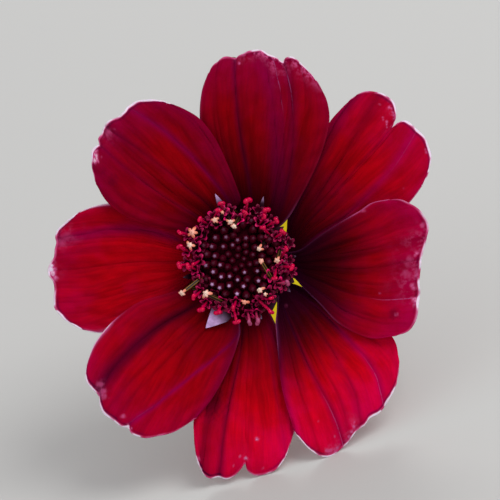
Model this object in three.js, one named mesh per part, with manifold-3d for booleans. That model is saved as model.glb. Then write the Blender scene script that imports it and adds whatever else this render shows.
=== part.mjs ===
// Chocolate cosmos: one picked flower, lying on a table on two petal tips and the end of its cut stem.
import * as THREE from 'three';
import { mergeVertices } from 'three/addons/utils/BufferGeometryUtils.js';
import Module from 'manifold-3d';

const wasm = await Module();
wasm.setup();

// Pose, in millimetres and degrees. The flower's own frame has x to the right and y up as one looks
// into its face, and z along its axis towards the viewer. The table is at z = 0.
const HEAD_PLACE = [-1.4, -41.4, 17.4];
const FACE_ELEVATION = 25;
const ROLL = -17.5;

// Petals share one saucer and lie a little above or below it, so that neighbours pass each other.
const PETAL_THICKNESS = 0.6;
const PETAL_LIFT = 0.55;
const CLAW_RADIUS = 4.5;
const SAUCER_DEPTH = 4.2;
const SAUCER_REACH = 6;
const DROOP_FROM = 14;
const DROOP_RADIUS = 45;
const TIP_RISE_FROM = 14.5;
const TIP_RISE_TO = 21;
const FOLD_WIDTH = 0.09;
// Folds and crown grow in between these shares of a petal's length.
const FOLD_GROWTH = [0.1, 0.6];
const PETAL_COLUMNS = 13;
const PETAL_ROWS = 11;
const WELD_DISTANCE = 1e-5;

// Disc
const RECEPTACLE = [
  [0, -2.2], [2.4, -2], [3.8, -1.2], [4.05, -0.8], [4.05, 1], [3.7, 2.2], [2.8, 3], [1.5, 3.4], [0, 3.5],
];
const RECEPTACLE_SIDES = 20;
const GOLDEN_ANGLE = 137.508;
// Closed buds lean outwards, and get shorter with the square of their distance from the axis.
const BUDS = 36;
const BUD_SIDES = 5;
const BUD_SPACING = 0.53;
const BUD_ROOT_SHARE = 0.8;
const BUD_ROOT_HEIGHT = 1.6;
const BUD_ROOT_RADIUS = 0.3;
const BUD_LEAN = 0.09;
const BUD_LENGTH = 3.2;
const BUD_FALL = 0.09;
// distance back from a bud's top, and its radius there
const BUD_PROFILE = [[0.9, 0.42], [0.3, 0.36], [0, 0.1]];
// Open florets: each pair is for the inmost and the outmost of them.
const OPEN_FLORETS = 22;
const OPEN_REACH = [3.7, 5.3];
const OPEN_ROOT = [2.6, 3.2];
const OPEN_ROOT_HEIGHT = 1.4;
const OPEN_TIP_HEIGHT = [4.6, 3.9];
const COROLLA_SIDES = 10;
const TUBE_RADIUS = 0.36;
const TUBE_SHARE = 0.7;
const MOUTH_RADIUS = 0.62;
const MOUTH_LOBES = 0.3;
// distance beyond the mouth, and the radius of the anther tube there
const ANTHER_PROFILE = [[0.7, 0.28], [1, 0.12]];
const ANTHER_ROOT_RADIUS = 0.25;
const ANTHER_SIDES = 5;
// azimuth and reach from the axis of each pointed scale that stands out between the florets
const SCALES = [[-117, 7.3], [110, 6.9], [70, 6.7], [-60, 6.3], [12, 6.4], [172, 6.5]];
const SCALE_ROOT = [2.8, 1.8];
const SCALE_TIP_HEIGHT = 3.3;
// share of a scale's length, and its half-width there
const SCALE_PROFILE = [[0, 0.75], [0.6, 0.8], [1, 0.3]];
const SCALE_FLATNESS = 0.42;
const SCALE_SIDES = 6;

// Bracts
const BRACT_THICKNESS = 0.7;
// azimuths of the inner bracts' tips; three of them fill the gaps between petals on the right
const INNER_BRACTS = [-145, -100, -58, -18, 43, 86, 130, 172];
const INNER_BRACT_PROFILE = [[0, -2.6], [2.5, -2.4], [4.2, -1.6], [5.2, -1.1], [6.2, -0.5], [7.3, 0]];
const INNER_BRACT_NOTCH = 5.2;
const INNER_BRACT_BLUNTNESS = 0.7;
const INNER_BRACT_SPOKES = 48;
const INNER_BRACT_RINGS = 4;
const OUTER_BRACTS = 8;
const OUTER_BRACT_TURN = 8;
// distance from the axis, height and half-width along one narrow outer bract
const OUTER_BRACT_RIB = [
  [1.4, -4, 0.5], [3, -3.7, 0.7], [4.6, -3.1, 0.85], [6.4, -2.5, 0.75], [8, -2.2, 0.4], [8.8, -2.2, 0.12],
];
const OUTER_BRACT_KEEL = 0.12;
const OUTER_BRACT_HUB = [[0, -4.5], [1.2, -4.5], [2.1, -4.3], [2.3, -3.9], [1.6, -3.6], [0, -3.6]];
const OUTER_BRACT_HUB_SIDES = 16;

// Stem
const STEM_RADIUS = 0.95;
const STEM_NECK_RADIUS = 1.3;
const STEM_NECK_SHARE = 0.1;
const STEM_TOP = -4.8;
const STEM_BEND = 22;
const STEM_LEVELLING = 0.9;
const STEM_TOUCH = 70;
const STEM_REACH = 95;
const STEM_SWAY = 6.5;
const STEM_FLAT = 0.05;
const STEM_SIDES = 8;
const STEM_STEPS = 30;

const COLOURS = {
  petal: 0x8c0a1c,
  disc: 0x4a0718,
  innerBract: 0x9aa83c,
  outerBract: 0x4c5a2a,
  stem: 0x6a4a35,
};

// Every petal is drawn by its two side edges, from the claw outwards, and its lobed tip, from the left
// side to the right. Left is the anticlockwise side. lift says which side lies over its neighbour.
const PETALS = [
  {
    name: 'petal_1',
    left: [[0.2, 4.6], [-1.1, 6.4], [-2.5, 9.4], [-3.6, 12.2], [-4, 14.5], [-3.9, 16.5], [-3.1, 19.2]],
    tip: [
      [-3.1, 19.2], [-1.8, 20.4], [-0.6, 20.5], [1.9, 21.2], [3.2, 20.7], [4.2, 20.1],
      [5.5, 20.4], [7.8, 18.4],
    ],
    right: [[2.6, 4], [4.1, 4.1], [4.85, 4.5], [6.1, 6.6], [7.5, 9.4], [8.4, 11.8], [8.9, 14.4], [7.8, 18.4]],
    lift: [-1, 1], arch: 0.35, tipRise: -0.4, folds: [[0.26, 0.45], [0.64, 0.55]],
  },
  {
    name: 'petal_2',
    left: [[4.1, 1.7], [4.5, 3], [4.7, 4.3], [5.5, 6.8], [7, 10.4], [9, 14], [10.1, 15.3], [11.1, 16.3]],
    tip: [
      [11.1, 16.3], [12.9, 17], [14.8, 16.5], [15.7, 15.1], [15.3, 13.6], [16.4, 14.1], [17.8, 13.3],
      [19.1, 11.3], [18.9, 9.2], [18.3, 7.7],
    ],
    right: [[4.6, 0.1], [6.2, 0.8], [8.8, 2], [11.5, 2.9], [14.4, 4.3], [16.4, 5.6], [18.3, 7.7]],
    lift: [-1, -1], arch: -0.2, tipRise: 0, folds: [[0.3, 0.35], [0.5, 0.5]],
  },
  {
    name: 'petal_3',
    left: [[4.6, 0.9], [6, 1.2], [8.1, 2.7], [10.1, 4], [12, 5.1], [13.2, 5.9], [14.7, 6.2]],
    tip: [
      [14.7, 6.2], [16, 6.2], [17.3, 5.6], [18.3, 4.6], [18.7, 3.3], [18.2, 0.9], [17.9, -2],
      [17.6, -4.5], [17.4, -6.1], [16.5, -6.9], [15.4, -7.4],
    ],
    right: [
      [4.5, -1.2], [5.5, -1.65], [6.3, -2.5], [8.1, -4.3], [9.7, -6], [11.6, -7.1],
      [13.2, -7.6], [15.4, -7.4],
    ],
    lift: [1, 1], arch: -0.4, tipRise: 2, folds: [[0.36, 0.35], [0.7, 0.35]],
  },
  {
    name: 'petal_4',
    left: [
      [4.2, -2], [5.4, -2.25], [6.3, -2.6], [8, -3.4], [10.2, -4.6], [12.8, -6], [14.8, -7.1], [15.9, -10],
    ],
    tip: [
      [15.9, -10], [15.6, -12.4], [14.8, -13.8], [13.1, -15.4], [11.6, -16.8], [10.5, -18.3],
      [9, -19.3], [7.8, -19.1], [6.7, -18.4], [5.5, -17],
    ],
    right: [
      [3.7, -3.5], [3.6, -4.8], [3.55, -6.1], [3.7, -7.4], [3.9, -9.7], [4.1, -11.8],
      [4.5, -13.8], [5.5, -17],
    ],
    lift: [-1, 1], arch: 0.2, tipRise: 0, folds: [[0.3, 0.3], [0.66, 0.5]],
  },
  {
    name: 'petal_5',
    left: [[2.3, -4.1], [3, -5.2], [3.5, -6.2], [4.5, -8.5], [5.2, -11.3], [5.7, -14.3], [5.6, -16.3]],
    tip: [
      [5.6, -16.3], [4.7, -18.9], [3, -21.1], [1.7, -21.3], [0.5, -20.2], [-0.6, -21.4], [-2, -21.7],
      [-3.2, -21.4], [-4.1, -20.2], [-4.5, -18.2],
    ],
    right: [
      [-0.2, -4.8], [-1.4, -6.2], [-2.4, -8.8], [-3.5, -11.5], [-4.3, -13.9], [-4.6, -15.8], [-4.5, -18.2],
    ],
    lift: [-1, -1], arch: 0.1, tipRise: 0, folds: [[0.55, 0.3], [0.76, 0.5]],
  },
  {
    name: 'petal_6',
    left: [[-1.2, -4.6], [-0.3, -5.6], [0, -6.8], [-0.5, -8.9], [-1.6, -11.5], [-3, -13.9], [-4.4, -15.6]],
    tip: [
      [-4.4, -15.6], [-6.4, -16.8], [-9, -17.6], [-10.6, -17.4], [-12.2, -16.1], [-13.6, -15],
      [-14.3, -13], [-15.3, -11.9], [-15.3, -10.4],
    ],
    right: [[-3.4, -3], [-5.4, -2.8], [-8, -3.4], [-10, -4], [-11.8, -5.2], [-13.8, -7.2], [-15.3, -10.4]],
    lift: [1, 1], arch: 0.5, tipRise: 0.4, folds: [[0.36, 0.35], [0.7, 0.45]],
  },
  {
    name: 'petal_7',
    left: [[-4.5, -1.3], [-5.8, -3], [-8, -4.5], [-10.2, -5.7], [-12.2, -6.6], [-14, -7], [-15.7, -6.6]],
    tip: [
      [-15.7, -6.6], [-17.3, -5.7], [-18.4, -4.3], [-18.6, -2.2], [-19.1, -0.6], [-18.6, 1.4],
      [-18.4, 2.9], [-17.3, 4.1], [-15.9, 5],
    ],
    right: [[-4.5, 1.4], [-5.8, 3], [-7.5, 4.3], [-9.5, 5.5], [-11.5, 6.1], [-13.3, 6], [-15.9, 5]],
    lift: [-1, -1], arch: -0.2, tipRise: 1, folds: [[0.5, 0.3], [0.76, 0.4]],
  },
  {
    name: 'petal_8',
    left: [[-3.8, 2.6], [-5.2, 2.6], [-6.6, 3.2], [-8.5, 3.5], [-10.6, 4.2], [-12.2, 5.1], [-14.3, 7.7]],
    tip: [
      [-14.3, 7.7], [-14.8, 10.3], [-14.1, 12], [-13.6, 13.3], [-12.1, 14.4], [-11.1, 15.6],
      [-9.4, 16.1], [-6.6, 15.6],
    ],
    right: [
      [-1.6, 4.3], [-0.8, 5.3], [0, 6.1], [-0.4, 7.6], [-1.2, 9.6], [-2.5, 12.3], [-4, 14.3], [-6.6, 15.6],
    ],
    lift: [1, 1], arch: 0.5, tipRise: 0.2, folds: [[0.4, 0.35], [0.72, 0.5]],
  },
];

const rad = THREE.MathUtils.degToRad;
const { clamp, lerp, radToDeg, smoothstep } = THREE.MathUtils;

// Vertices and faces of a closed body, as a geometry of its own.
function geometryOf(points, faces) {
  const geometry = new THREE.BufferGeometry();
  geometry.setAttribute('position', new THREE.Float32BufferAttribute(points.flatMap((p) => p.toArray()), 3));
  geometry.setIndex(faces.flat());
  return geometry;
}

function toManifold(geometry) {
  const plain = geometry.clone();
  plain.deleteAttribute('normal');
  plain.deleteAttribute('uv');
  const merged = mergeVertices(plain, WELD_DISTANCE);
  return new wasm.Manifold(new wasm.Mesh({
    numProp: 3,
    vertProperties: new Float32Array(merged.attributes.position.array),
    triVerts: new Uint32Array(merged.index.array),
  }));
}

function fromManifold(manifold) {
  const mesh = manifold.getMesh();
  const geometry = new THREE.BufferGeometry();
  geometry.setAttribute('position', new THREE.Float32BufferAttribute(mesh.vertProperties, 3));
  geometry.setIndex(Array.from(mesh.triVerts));
  return geometry;
}

function joined(geometries) {
  return fromManifold(geometries.map(toManifold).reduce((whole, piece) => whole.add(piece)));
}

// A body through rings of points that all run the same way round, closed by a fan at either end.
function loft(rings) {
  const sides = rings[0].length;
  const points = rings.flat();
  const faces = [];
  for (let ring = 0; ring < rings.length - 1; ring += 1) {
    for (let side = 0; side < sides; side += 1) {
      const next = (side + 1) % sides;
      const [a, b] = [ring * sides + side, ring * sides + next];
      faces.push([a, b, b + sides], [a, b + sides, a + sides]);
    }
  }
  const middle = (ring) => ring.reduce((sum, p) => sum.clone().add(p)).divideScalar(sides);
  const foot = points.push(middle(rings[0])) - 1;
  const top = points.push(middle(rings.at(-1))) - 1;
  const last = (rings.length - 1) * sides;
  for (let side = 0; side < sides; side += 1) {
    const next = (side + 1) % sides;
    faces.push([foot, next, side], [top, last + side, last + next]);
  }
  return geometryOf(points, faces);
}

// A slender body along a straight line: profile gives the distance along it, the radius, and how far
// five lobes stand out of a round section. flat squeezes the section in the plane of the flower's axis.
function spindle(root, direction, profile, sides, { flat = 1, turn = 0 } = {}) {
  const along = direction.clone().normalize();
  const across = new THREE.Vector3(0, 0, 1).cross(along);
  if (across.length() < 1e-3) across.set(1, 0, 0);
  across.normalize();
  const out = along.clone().cross(across);
  return loft(profile.map(([distance, radius, lobes = 0]) => Array.from({ length: sides }, (_, side) => {
    const angle = (side / sides) * 2 * Math.PI;
    const reach = radius * (1 + lobes * Math.cos(5 * angle));
    return root.clone()
      .addScaledVector(along, distance)
      .addScaledVector(across, reach * Math.cos(angle + turn))
      .addScaledVector(out, reach * Math.sin(angle + turn) * flat);
  })));
}

// Height of the saucer that the petals follow, and its slope, at a distance from the axis.
function saucer(radius) {
  const out = Math.max(radius - CLAW_RADIUS, 0);
  const droop = Math.max(radius - DROOP_FROM, 0);
  return {
    height: SAUCER_DEPTH * (1 - Math.exp(-out / SAUCER_REACH)) - (droop * droop) / DROOP_RADIUS,
    slope: (SAUCER_DEPTH / SAUCER_REACH) * Math.exp(-out / SAUCER_REACH) - (2 * droop) / DROOP_RADIUS,
  };
}

// A point of a petal's middle surface. Rulings join the side edges, and towards the end they bend into
// the lobed tip; the height is the saucer's, with the crown and the pressed-in folds of this petal.
function petalPoint(petal, edges, u, v) {
  const [left, right, tip] = [edges.left.getPointAt(v), edges.right.getPointAt(v), edges.tip.getPointAt(u)];
  const chord = edges.left.getPointAt(1).lerp(edges.right.getPointAt(1), u);
  const point = left.lerp(right, u).addScaledVector(tip.sub(chord), v * v);
  const radius = Math.hypot(point.x, point.y);
  const { height, slope } = saucer(radius);
  const lift = PETAL_LIFT * lerp(petal.lift[0], petal.lift[1], u) * Math.hypot(1, slope);
  const middle = 4 * u * (1 - u);
  const grown = smoothstep(v, ...FOLD_GROWTH);
  const depths = petal.folds.map(([at, depth]) => depth * Math.exp(-(((u - at) / FOLD_WIDTH) ** 2)));
  const folds = depths.reduce((sum, depth) => sum + depth);
  const rise = petal.tipRise * smoothstep(radius, TIP_RISE_FROM, TIP_RISE_TO);
  point.z = height + lift + rise + (petal.arch * middle - folds) * grown;
  return point;
}

const curve = (points) => new THREE.CatmullRomCurve3(points.map(([x, y]) => new THREE.Vector3(x, y, 0)));

// A blade of even thickness on both sides of a grid of points, with the same triangles on both faces.
function blade(grid, thickness) {
  const [rows, columns] = [grid.length, grid[0].length];
  const at = (row, column) => grid[clamp(row, 0, rows - 1)][clamp(column, 0, columns - 1)];
  const faceUp = [];
  const faceDown = [];
  for (let row = 0; row < rows; row += 1) {
    for (let column = 0; column < columns; column += 1) {
      const along = at(row + 1, column).clone().sub(at(row - 1, column));
      const across = at(row, column + 1).clone().sub(at(row, column - 1));
      const normal = across.cross(along).normalize().multiplyScalar(thickness / 2);
      faceUp.push(at(row, column).clone().add(normal));
      faceDown.push(at(row, column).clone().sub(normal));
    }
  }
  const faces = [];
  const half = rows * columns;
  for (let row = 0; row < rows - 1; row += 1) {
    for (let column = 0; column < columns - 1; column += 1) {
      const a = row * columns + column;
      const [b, c, d] = [a + 1, a + columns + 1, a + columns];
      faces.push([a, b, c], [a, c, d], [half + a, half + c, half + b], [half + a, half + d, half + c]);
    }
  }
  const rim = [
    ...Array.from({ length: columns - 1 }, (_, i) => i),
    ...Array.from({ length: rows - 1 }, (_, i) => i * columns + columns - 1),
    ...Array.from({ length: columns - 1 }, (_, i) => half - 1 - i),
    ...Array.from({ length: rows - 1 }, (_, i) => (rows - 1 - i) * columns),
  ];
  rim.forEach((a, i) => {
    const b = rim[(i + 1) % rim.length];
    faces.push([a, half + a, half + b], [a, half + b, b]);
  });
  return geometryOf([...faceUp, ...faceDown], faces);
}

const facing = new THREE.Quaternion().setFromEuler(new THREE.Euler(rad(90 - FACE_ELEVATION), 0, rad(ROLL)));
const headPlace = new THREE.Vector3(...HEAD_PLACE);

// Cuts off what would reach below the table: upwards and table are that plane in the body's own frame.
function trimmed(geometry, upwards, table) {
  return fromManifold(toManifold(geometry).trimByPlane(upwards.toArray(), table));
}

function petalGeometry(petal) {
  const edges = { left: curve(petal.left), right: curve(petal.right), tip: curve(petal.tip) };
  const grid = Array.from({ length: PETAL_ROWS + 1 }, (_, row) => Array.from(
    { length: PETAL_COLUMNS + 1 },
    (__, column) => petalPoint(petal, edges, column / PETAL_COLUMNS, row / PETAL_ROWS),
  ));
  const upwards = new THREE.Vector3(0, 0, 1).applyQuaternion(facing.clone().invert());
  return trimmed(blade(grid, PETAL_THICKNESS), upwards, -headPlace.z);
}

function discGeometry() {
  const outline = RECEPTACLE.map(([r, z]) => new THREE.Vector2(r, z));
  const receptacle = new THREE.LatheGeometry(outline, RECEPTACLE_SIDES);
  const pieces = [receptacle.rotateX(Math.PI / 2)];
  const outwardAt = (angle) => new THREE.Vector3(Math.cos(rad(angle)), Math.sin(rad(angle)), 0);
  for (let bud = 0; bud < BUDS; bud += 1) {
    const radius = BUD_SPACING * Math.sqrt(bud + 0.5);
    const outward = outwardAt(GOLDEN_ANGLE * bud);
    const root = outward.clone().multiplyScalar(radius * BUD_ROOT_SHARE).setZ(BUD_ROOT_HEIGHT);
    const lean = outward.multiplyScalar(radius * BUD_LEAN).setZ(1);
    const length = BUD_LENGTH - BUD_FALL * radius * radius;
    const profile = BUD_PROFILE.map(([back, wide]) => [length - back, wide]);
    pieces.push(spindle(root, lean, [[0, BUD_ROOT_RADIUS], ...profile], BUD_SIDES));
  }
  for (let floret = 0; floret < OPEN_FLORETS; floret += 1) {
    const out = floret / (OPEN_FLORETS - 1);
    const radius = Math.sqrt(lerp(OPEN_REACH[0] ** 2, OPEN_REACH[1] ** 2, out));
    const outward = outwardAt(GOLDEN_ANGLE * (floret + BUDS));
    const root = outward.clone().multiplyScalar(lerp(...OPEN_ROOT, out)).setZ(OPEN_ROOT_HEIGHT);
    const lean = outward.multiplyScalar(radius).setZ(lerp(...OPEN_TIP_HEIGHT, out)).sub(root);
    const length = lean.length();
    const throat = length * TUBE_SHARE;
    const corolla = [[0, TUBE_RADIUS], [throat, TUBE_RADIUS], [length, MOUTH_RADIUS, MOUTH_LOBES]];
    const anthers = ANTHER_PROFILE.map(([beyond, wide]) => [length + beyond, wide]);
    pieces.push(spindle(root, lean, corolla, COROLLA_SIDES, { turn: floret }));
    pieces.push(spindle(root, lean, [[length / 2, ANTHER_ROOT_RADIUS], ...anthers], ANTHER_SIDES));
  }
  for (const [azimuth, reach] of SCALES) {
    const outward = outwardAt(azimuth);
    const root = outward.clone().multiplyScalar(SCALE_ROOT[0]).setZ(SCALE_ROOT[1]);
    const lean = outward.multiplyScalar(reach).setZ(SCALE_TIP_HEIGHT).sub(root);
    const profile = SCALE_PROFILE.map(([share, half]) => [share * lean.length(), half]);
    pieces.push(spindle(root, lean, profile, SCALE_SIDES, { flat: SCALE_FLATNESS }));
  }
  return joined(pieces);
}

// Distance of the bract cup's edge from the axis: broad rounded lobes with a notch between each two.
function bractEdge(azimuth) {
  const turned = INNER_BRACTS.map((tip) => (azimuth - tip + 720) % 360);
  const past = Math.min(...turned);
  const ahead = 360 - Math.max(...turned);
  const lobe = Math.abs(Math.cos(Math.PI * (past / (past + ahead))));
  return lerp(INNER_BRACT_NOTCH, INNER_BRACT_PROFILE.at(-1)[0], lobe ** INNER_BRACT_BLUNTNESS);
}

function heightOn(profile, radius) {
  const next = Math.max(profile.findIndex(([r]) => r >= radius - 1e-9), 1);
  const [[r0, z0], [r1, z1]] = [profile[next - 1], profile[next]];
  return lerp(z0, z1, (radius - r0) / (r1 - r0));
}

function innerBractGeometry() {
  const [spokes, rings] = [INNER_BRACT_SPOKES, INNER_BRACT_RINGS];
  const points = [];
  const faces = [];
  for (const drop of [0, BRACT_THICKNESS]) {
    points.push(new THREE.Vector3(0, 0, INNER_BRACT_PROFILE[0][1] - drop));
    for (let ring = 1; ring <= rings; ring += 1) {
      for (let spoke = 0; spoke < spokes; spoke += 1) {
        const angle = (spoke / spokes) * 2 * Math.PI;
        const radius = (bractEdge(radToDeg(angle)) * ring) / rings;
        const height = heightOn(INNER_BRACT_PROFILE, radius) - drop;
        points.push(new THREE.Vector3(radius * Math.cos(angle), radius * Math.sin(angle), height));
      }
    }
  }
  const half = 1 + rings * spokes;
  for (let spoke = 0; spoke < spokes; spoke += 1) {
    const next = (spoke + 1) % spokes;
    faces.push([0, 1 + spoke, 1 + next], [half, half + 1 + next, half + 1 + spoke]);
    for (let ring = 0; ring < rings - 1; ring += 1) {
      const [a, b] = [1 + ring * spokes + spoke, 1 + ring * spokes + next];
      const [c, d] = [b + spokes, a + spokes];
      faces.push([a, c, b], [a, d, c], [half + a, half + b, half + c], [half + a, half + c, half + d]);
    }
    const [a, b] = [1 + (rings - 1) * spokes + spoke, 1 + (rings - 1) * spokes + next];
    faces.push([a, half + a, half + b], [a, half + b, b]);
  }
  return geometryOf(points, faces);
}

function outerBractGeometry() {
  const hubPoints = OUTER_BRACT_HUB.map(([r, z]) => new THREE.Vector2(r, z));
  const hub = new THREE.LatheGeometry(hubPoints, OUTER_BRACT_HUB_SIDES);
  const pieces = [hub.rotateX(Math.PI / 2)];
  for (let bract = 0; bract < OUTER_BRACTS; bract += 1) {
    const angle = rad(OUTER_BRACT_TURN + (360 / OUTER_BRACTS) * bract);
    const grid = OUTER_BRACT_RIB.map(([radius, height, half]) => [-1, 0, 1].map((side) => new THREE.Vector3(
      radius * Math.cos(angle) + side * half * Math.sin(angle),
      radius * Math.sin(angle) - side * half * Math.cos(angle),
      height + OUTER_BRACT_KEEL * side * side,
    )));
    pieces.push(blade(grid, BRACT_THICKNESS));
  }
  return joined(pieces);
}

// The stem leaves the head along its axis, sinks to the table in one long bend and lies on it.
function stemGeometry() {
  const inHead = (x, y, z) => new THREE.Vector3(x, y, z).applyQuaternion(facing).add(headPlace);
  const level = STEM_RADIUS - STEM_FLAT;
  const touch = new THREE.Vector3(headPlace.x + STEM_SWAY * 0.5, headPlace.y + STEM_TOUCH, level);
  const end = new THREE.Vector3(headPlace.x + STEM_SWAY, headPlace.y + STEM_REACH, level);
  const nearTouch = touch.clone().add(touch.clone().sub(end).multiplyScalar(STEM_LEVELLING));
  const [top, belowTop] = [inHead(0, 0, STEM_TOP), inHead(0, 0, STEM_TOP - STEM_BEND)];
  const path = new THREE.CurvePath();
  path.add(new THREE.CubicBezierCurve3(top, belowTop, nearTouch, touch));
  path.add(new THREE.LineCurve3(touch, end));
  const { normals, binormals } = path.computeFrenetFrames(STEM_STEPS);
  const rings = Array.from({ length: STEM_STEPS + 1 }, (_, step) => {
    const along = step / STEM_STEPS;
    const centre = path.getPointAt(along);
    const radius = lerp(STEM_NECK_RADIUS, STEM_RADIUS, smoothstep(along, 0, STEM_NECK_SHARE));
    return Array.from({ length: STEM_SIDES }, (__, side) => {
      const angle = (side / STEM_SIDES) * 2 * Math.PI;
      return centre.clone()
        .addScaledVector(normals[step], radius * Math.cos(angle))
        .addScaledVector(binormals[step], radius * Math.sin(angle));
    });
  });
  return trimmed(loft(rings), new THREE.Vector3(0, 0, 1), 0);
}

function part(name, geometry, color, roughness) {
  const mesh = new THREE.Mesh(geometry, new THREE.MeshStandardMaterial({ color, roughness, metalness: 0 }));
  mesh.name = name;
  return mesh;
}

const head = new THREE.Group();
head.position.copy(headPlace);
head.quaternion.copy(facing);
for (const petal of PETALS) {
  head.add(part(petal.name, petalGeometry(petal), COLOURS.petal, 0.7));
}
head.add(part('disc', discGeometry(), COLOURS.disc, 0.6));
head.add(part('inner_bracts', innerBractGeometry(), COLOURS.innerBract, 0.6));
head.add(part('outer_bracts', outerBractGeometry(), COLOURS.outerBract, 0.6));

const flower = new THREE.Group();
flower.add(head, part('stem', stemGeometry(), COLOURS.stem, 0.6));

export default flower;
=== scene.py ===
import math
from collections import namedtuple

import bpy
import numpy as np
from mathutils import Matrix, Vector


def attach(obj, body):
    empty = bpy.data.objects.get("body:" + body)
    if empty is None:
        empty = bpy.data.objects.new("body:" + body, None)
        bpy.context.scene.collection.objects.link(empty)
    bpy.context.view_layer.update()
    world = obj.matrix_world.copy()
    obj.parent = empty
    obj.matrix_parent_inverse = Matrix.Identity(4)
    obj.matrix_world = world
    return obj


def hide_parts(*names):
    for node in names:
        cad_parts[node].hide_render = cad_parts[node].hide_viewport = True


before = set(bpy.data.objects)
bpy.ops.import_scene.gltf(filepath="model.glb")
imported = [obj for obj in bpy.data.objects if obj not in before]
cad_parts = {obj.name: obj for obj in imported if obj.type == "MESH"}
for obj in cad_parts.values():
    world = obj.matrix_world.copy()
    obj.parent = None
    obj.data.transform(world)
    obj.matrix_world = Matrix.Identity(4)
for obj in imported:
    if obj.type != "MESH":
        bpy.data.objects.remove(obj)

bl_info = {
    "name": "Chocolate cosmos",
    "version": (1, 0, 0),
    "blender": (4, 5, 0),
    "location": "View3D > Sidebar > Cosmos",
    "description": "Makes the petals, disc, bracts and stem of a cut chocolate cosmos on its frame",
    "category": "Object",
}

MM = 0.001
FULL_TURN = 2 * math.pi
GOLDEN_ANGLE = math.radians(137.508)

# Pose of the flower. Its own frame, in millimetres, has x to the right and y up as one looks into its
# face, and z along its axis towards the viewer. The table is at z = 0 in the row frame.
HEAD_PLACE = np.array([-1.4, -41.4, 17.4])
FACE_ELEVATION = math.radians(25)
ROLL = math.radians(-17.5)

# The saucer that the petals share, and how far each lies above or below it
CLAW_RADIUS = 4.5
SAUCER_DEPTH = 4.2
SAUCER_REACH = 6.0
DROOP_FROM = 14.0
DROOP_RADIUS = 45.0
PETAL_LIFT = 0.55
TIP_RISE_FROM = 14.5
TIP_RISE_TO = 21.0
FOLD_WIDTH = 0.09
FOLD_DEPTH = 0.7

# Thickness of a blade's edge against its middle, how soon it thickens, and how far the rim bulges out
# against the thickness
EDGE_THICKNESS = 0.45
EDGE_STEEPNESS = 5
RIM_BULGE = 0.4

# Waves on a petal: how many sines make them, and the fewest and most turns of one across the blade
NIBBLES = (6, 3, 11)
RIBS = (5, 5, 11)
VEINS = (6, 18, 34)
WRINKLES = (8, 2, 9)
RIM_WAVES = (5, 3, 14)
FLECK_WAVES = (8, 10, 30)
BASE_WAVES = (6, 3, 14)

# Where along the blade, from 0 at the claw to 1 at the tip, these start and are fully grown
NIBBLES_GROW = (0.9, 1)
FORM_GROWS = (0.1, 0.6)
RIBS_GROW = (0.05, 0.4)
BANDS_GROW = (0, 0.3)
LINES_GROW = (0.68, 0.9)
TIP_VIOLET_GROWS = (0.7, 1.05)

# Where a blade's grid is denser: place, width and how much denser, or the last two for a crease
SIDE_MARKS = ((0, 0.015, 4), (1, 0.015, 4))
TIP_MARKS = ((1, 0.02, 5), (0.95, 0.06, 1))
CREASE_MARK = (0.03, 1.5)

# Width of a crease's groove and of the violet and lilac bands, a painted sheen, against the blade and against
# the dark band, a painted shade. Only violet above LILAC_FROM is lilac too
CREASE_WIDTH = 0.012
CREASE_LEAST_DEPTH = 0.3
VIOLET_BAND = 1.2
LILAC_BAND = 0.7
LILAC_FROM = 0.9

# In millimetres: half the width of the pale line beside a crease, a painted highlight, how far beside it lies
# and how far it reaches, the pale rims at the tip and at the sides, painted highlights, the dark band inside
# the rim of the tip, and the violet along the sides, a painted sheen
LINE_WIDTH = 0.06
LINE_ASIDE = 0.1
LINE_REACH = 0.3
RIM_WIDTH = 0.16
SIDE_RIM_WIDTH = 0.11
INNER_BAND = 0.33
INNER_BAND_WIDTH = 0.14
VIOLET_WIDTH = 1.3
BASE_WAVER = 0.3

# How much wider the rims grow where they are paler than 1, how long a side rim takes to change, how pale the
# tip's rim is where nothing is drawn, how uneven it is and between which limits, and how uneven flecks are
RIM_GROWTH = 0.5
SIDE_RIM_GROWTH = 3
RIM_CHANGE = 0.1
RIM_PALENESS = 0.4
RIM_WAVER = 0.5
RIM_LIMITS = (0.2, 1.4)
FLECK_WAVER = 0.25

# From which paleness of a side rim's painted highlight it turns white, and how fast. From which paleness of
# the tip's rim it has a dark band inside, how dark that is, and the violet of creases, sides and that band, a
# painted sheen
WHITE_FROM = 0.5
WHITENESS = 0.9
BAND_FROM = 0.3
BAND_DARKNESS = 0.9
CREASE_VIOLET = 0.6
SIDE_VIOLET = 0.3
BAND_VIOLET = 0.6
MOST_VIOLET = 1.2

# Where the photograph's frame lies: one pixel is a tenth of a millimetre on the petals
PIXEL = 0.1
FRAME_PIXELS = 500
AXIS_PIXEL = (240, 262)
VIEW_DISTANCE = 300.0
VIEW_PLANE = 3.5
SENSOR_WIDTH = 36.0
CLIP_START = 0.01
CLIP_END = 20.0

# Lamps of the stage: name, place and width in metres, and power in watts. Then the light all round
LAMPS = (
    ("key", (0.35, -0.25, 0.55), 0.4, 2.4),
    ("fill", (-0.5, -0.45, 0.3), 0.5, 0.4),
    ("back", (0.1, 0.5, 0.35), 0.3, 1.2),
)
SKY_COLOUR = (0.96, 0.97, 1.0, 1)
SKY_STRENGTH = 0.6

# A thin line on a blade: its place across the blade at the claw and at the tip, from 0 at the left side to 1
# at the right, how dark the band of painted shade along it is and how violet its painted sheen, how pale the
# painted highlight beside it, and the band's width against the blade. Some wide dark bands are painted
# shadows of a neighbouring petal. Violet above LILAC_FROM adds a brighter band
Crease = namedtuple("Crease", "claw tip dark violet pale width")
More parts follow.
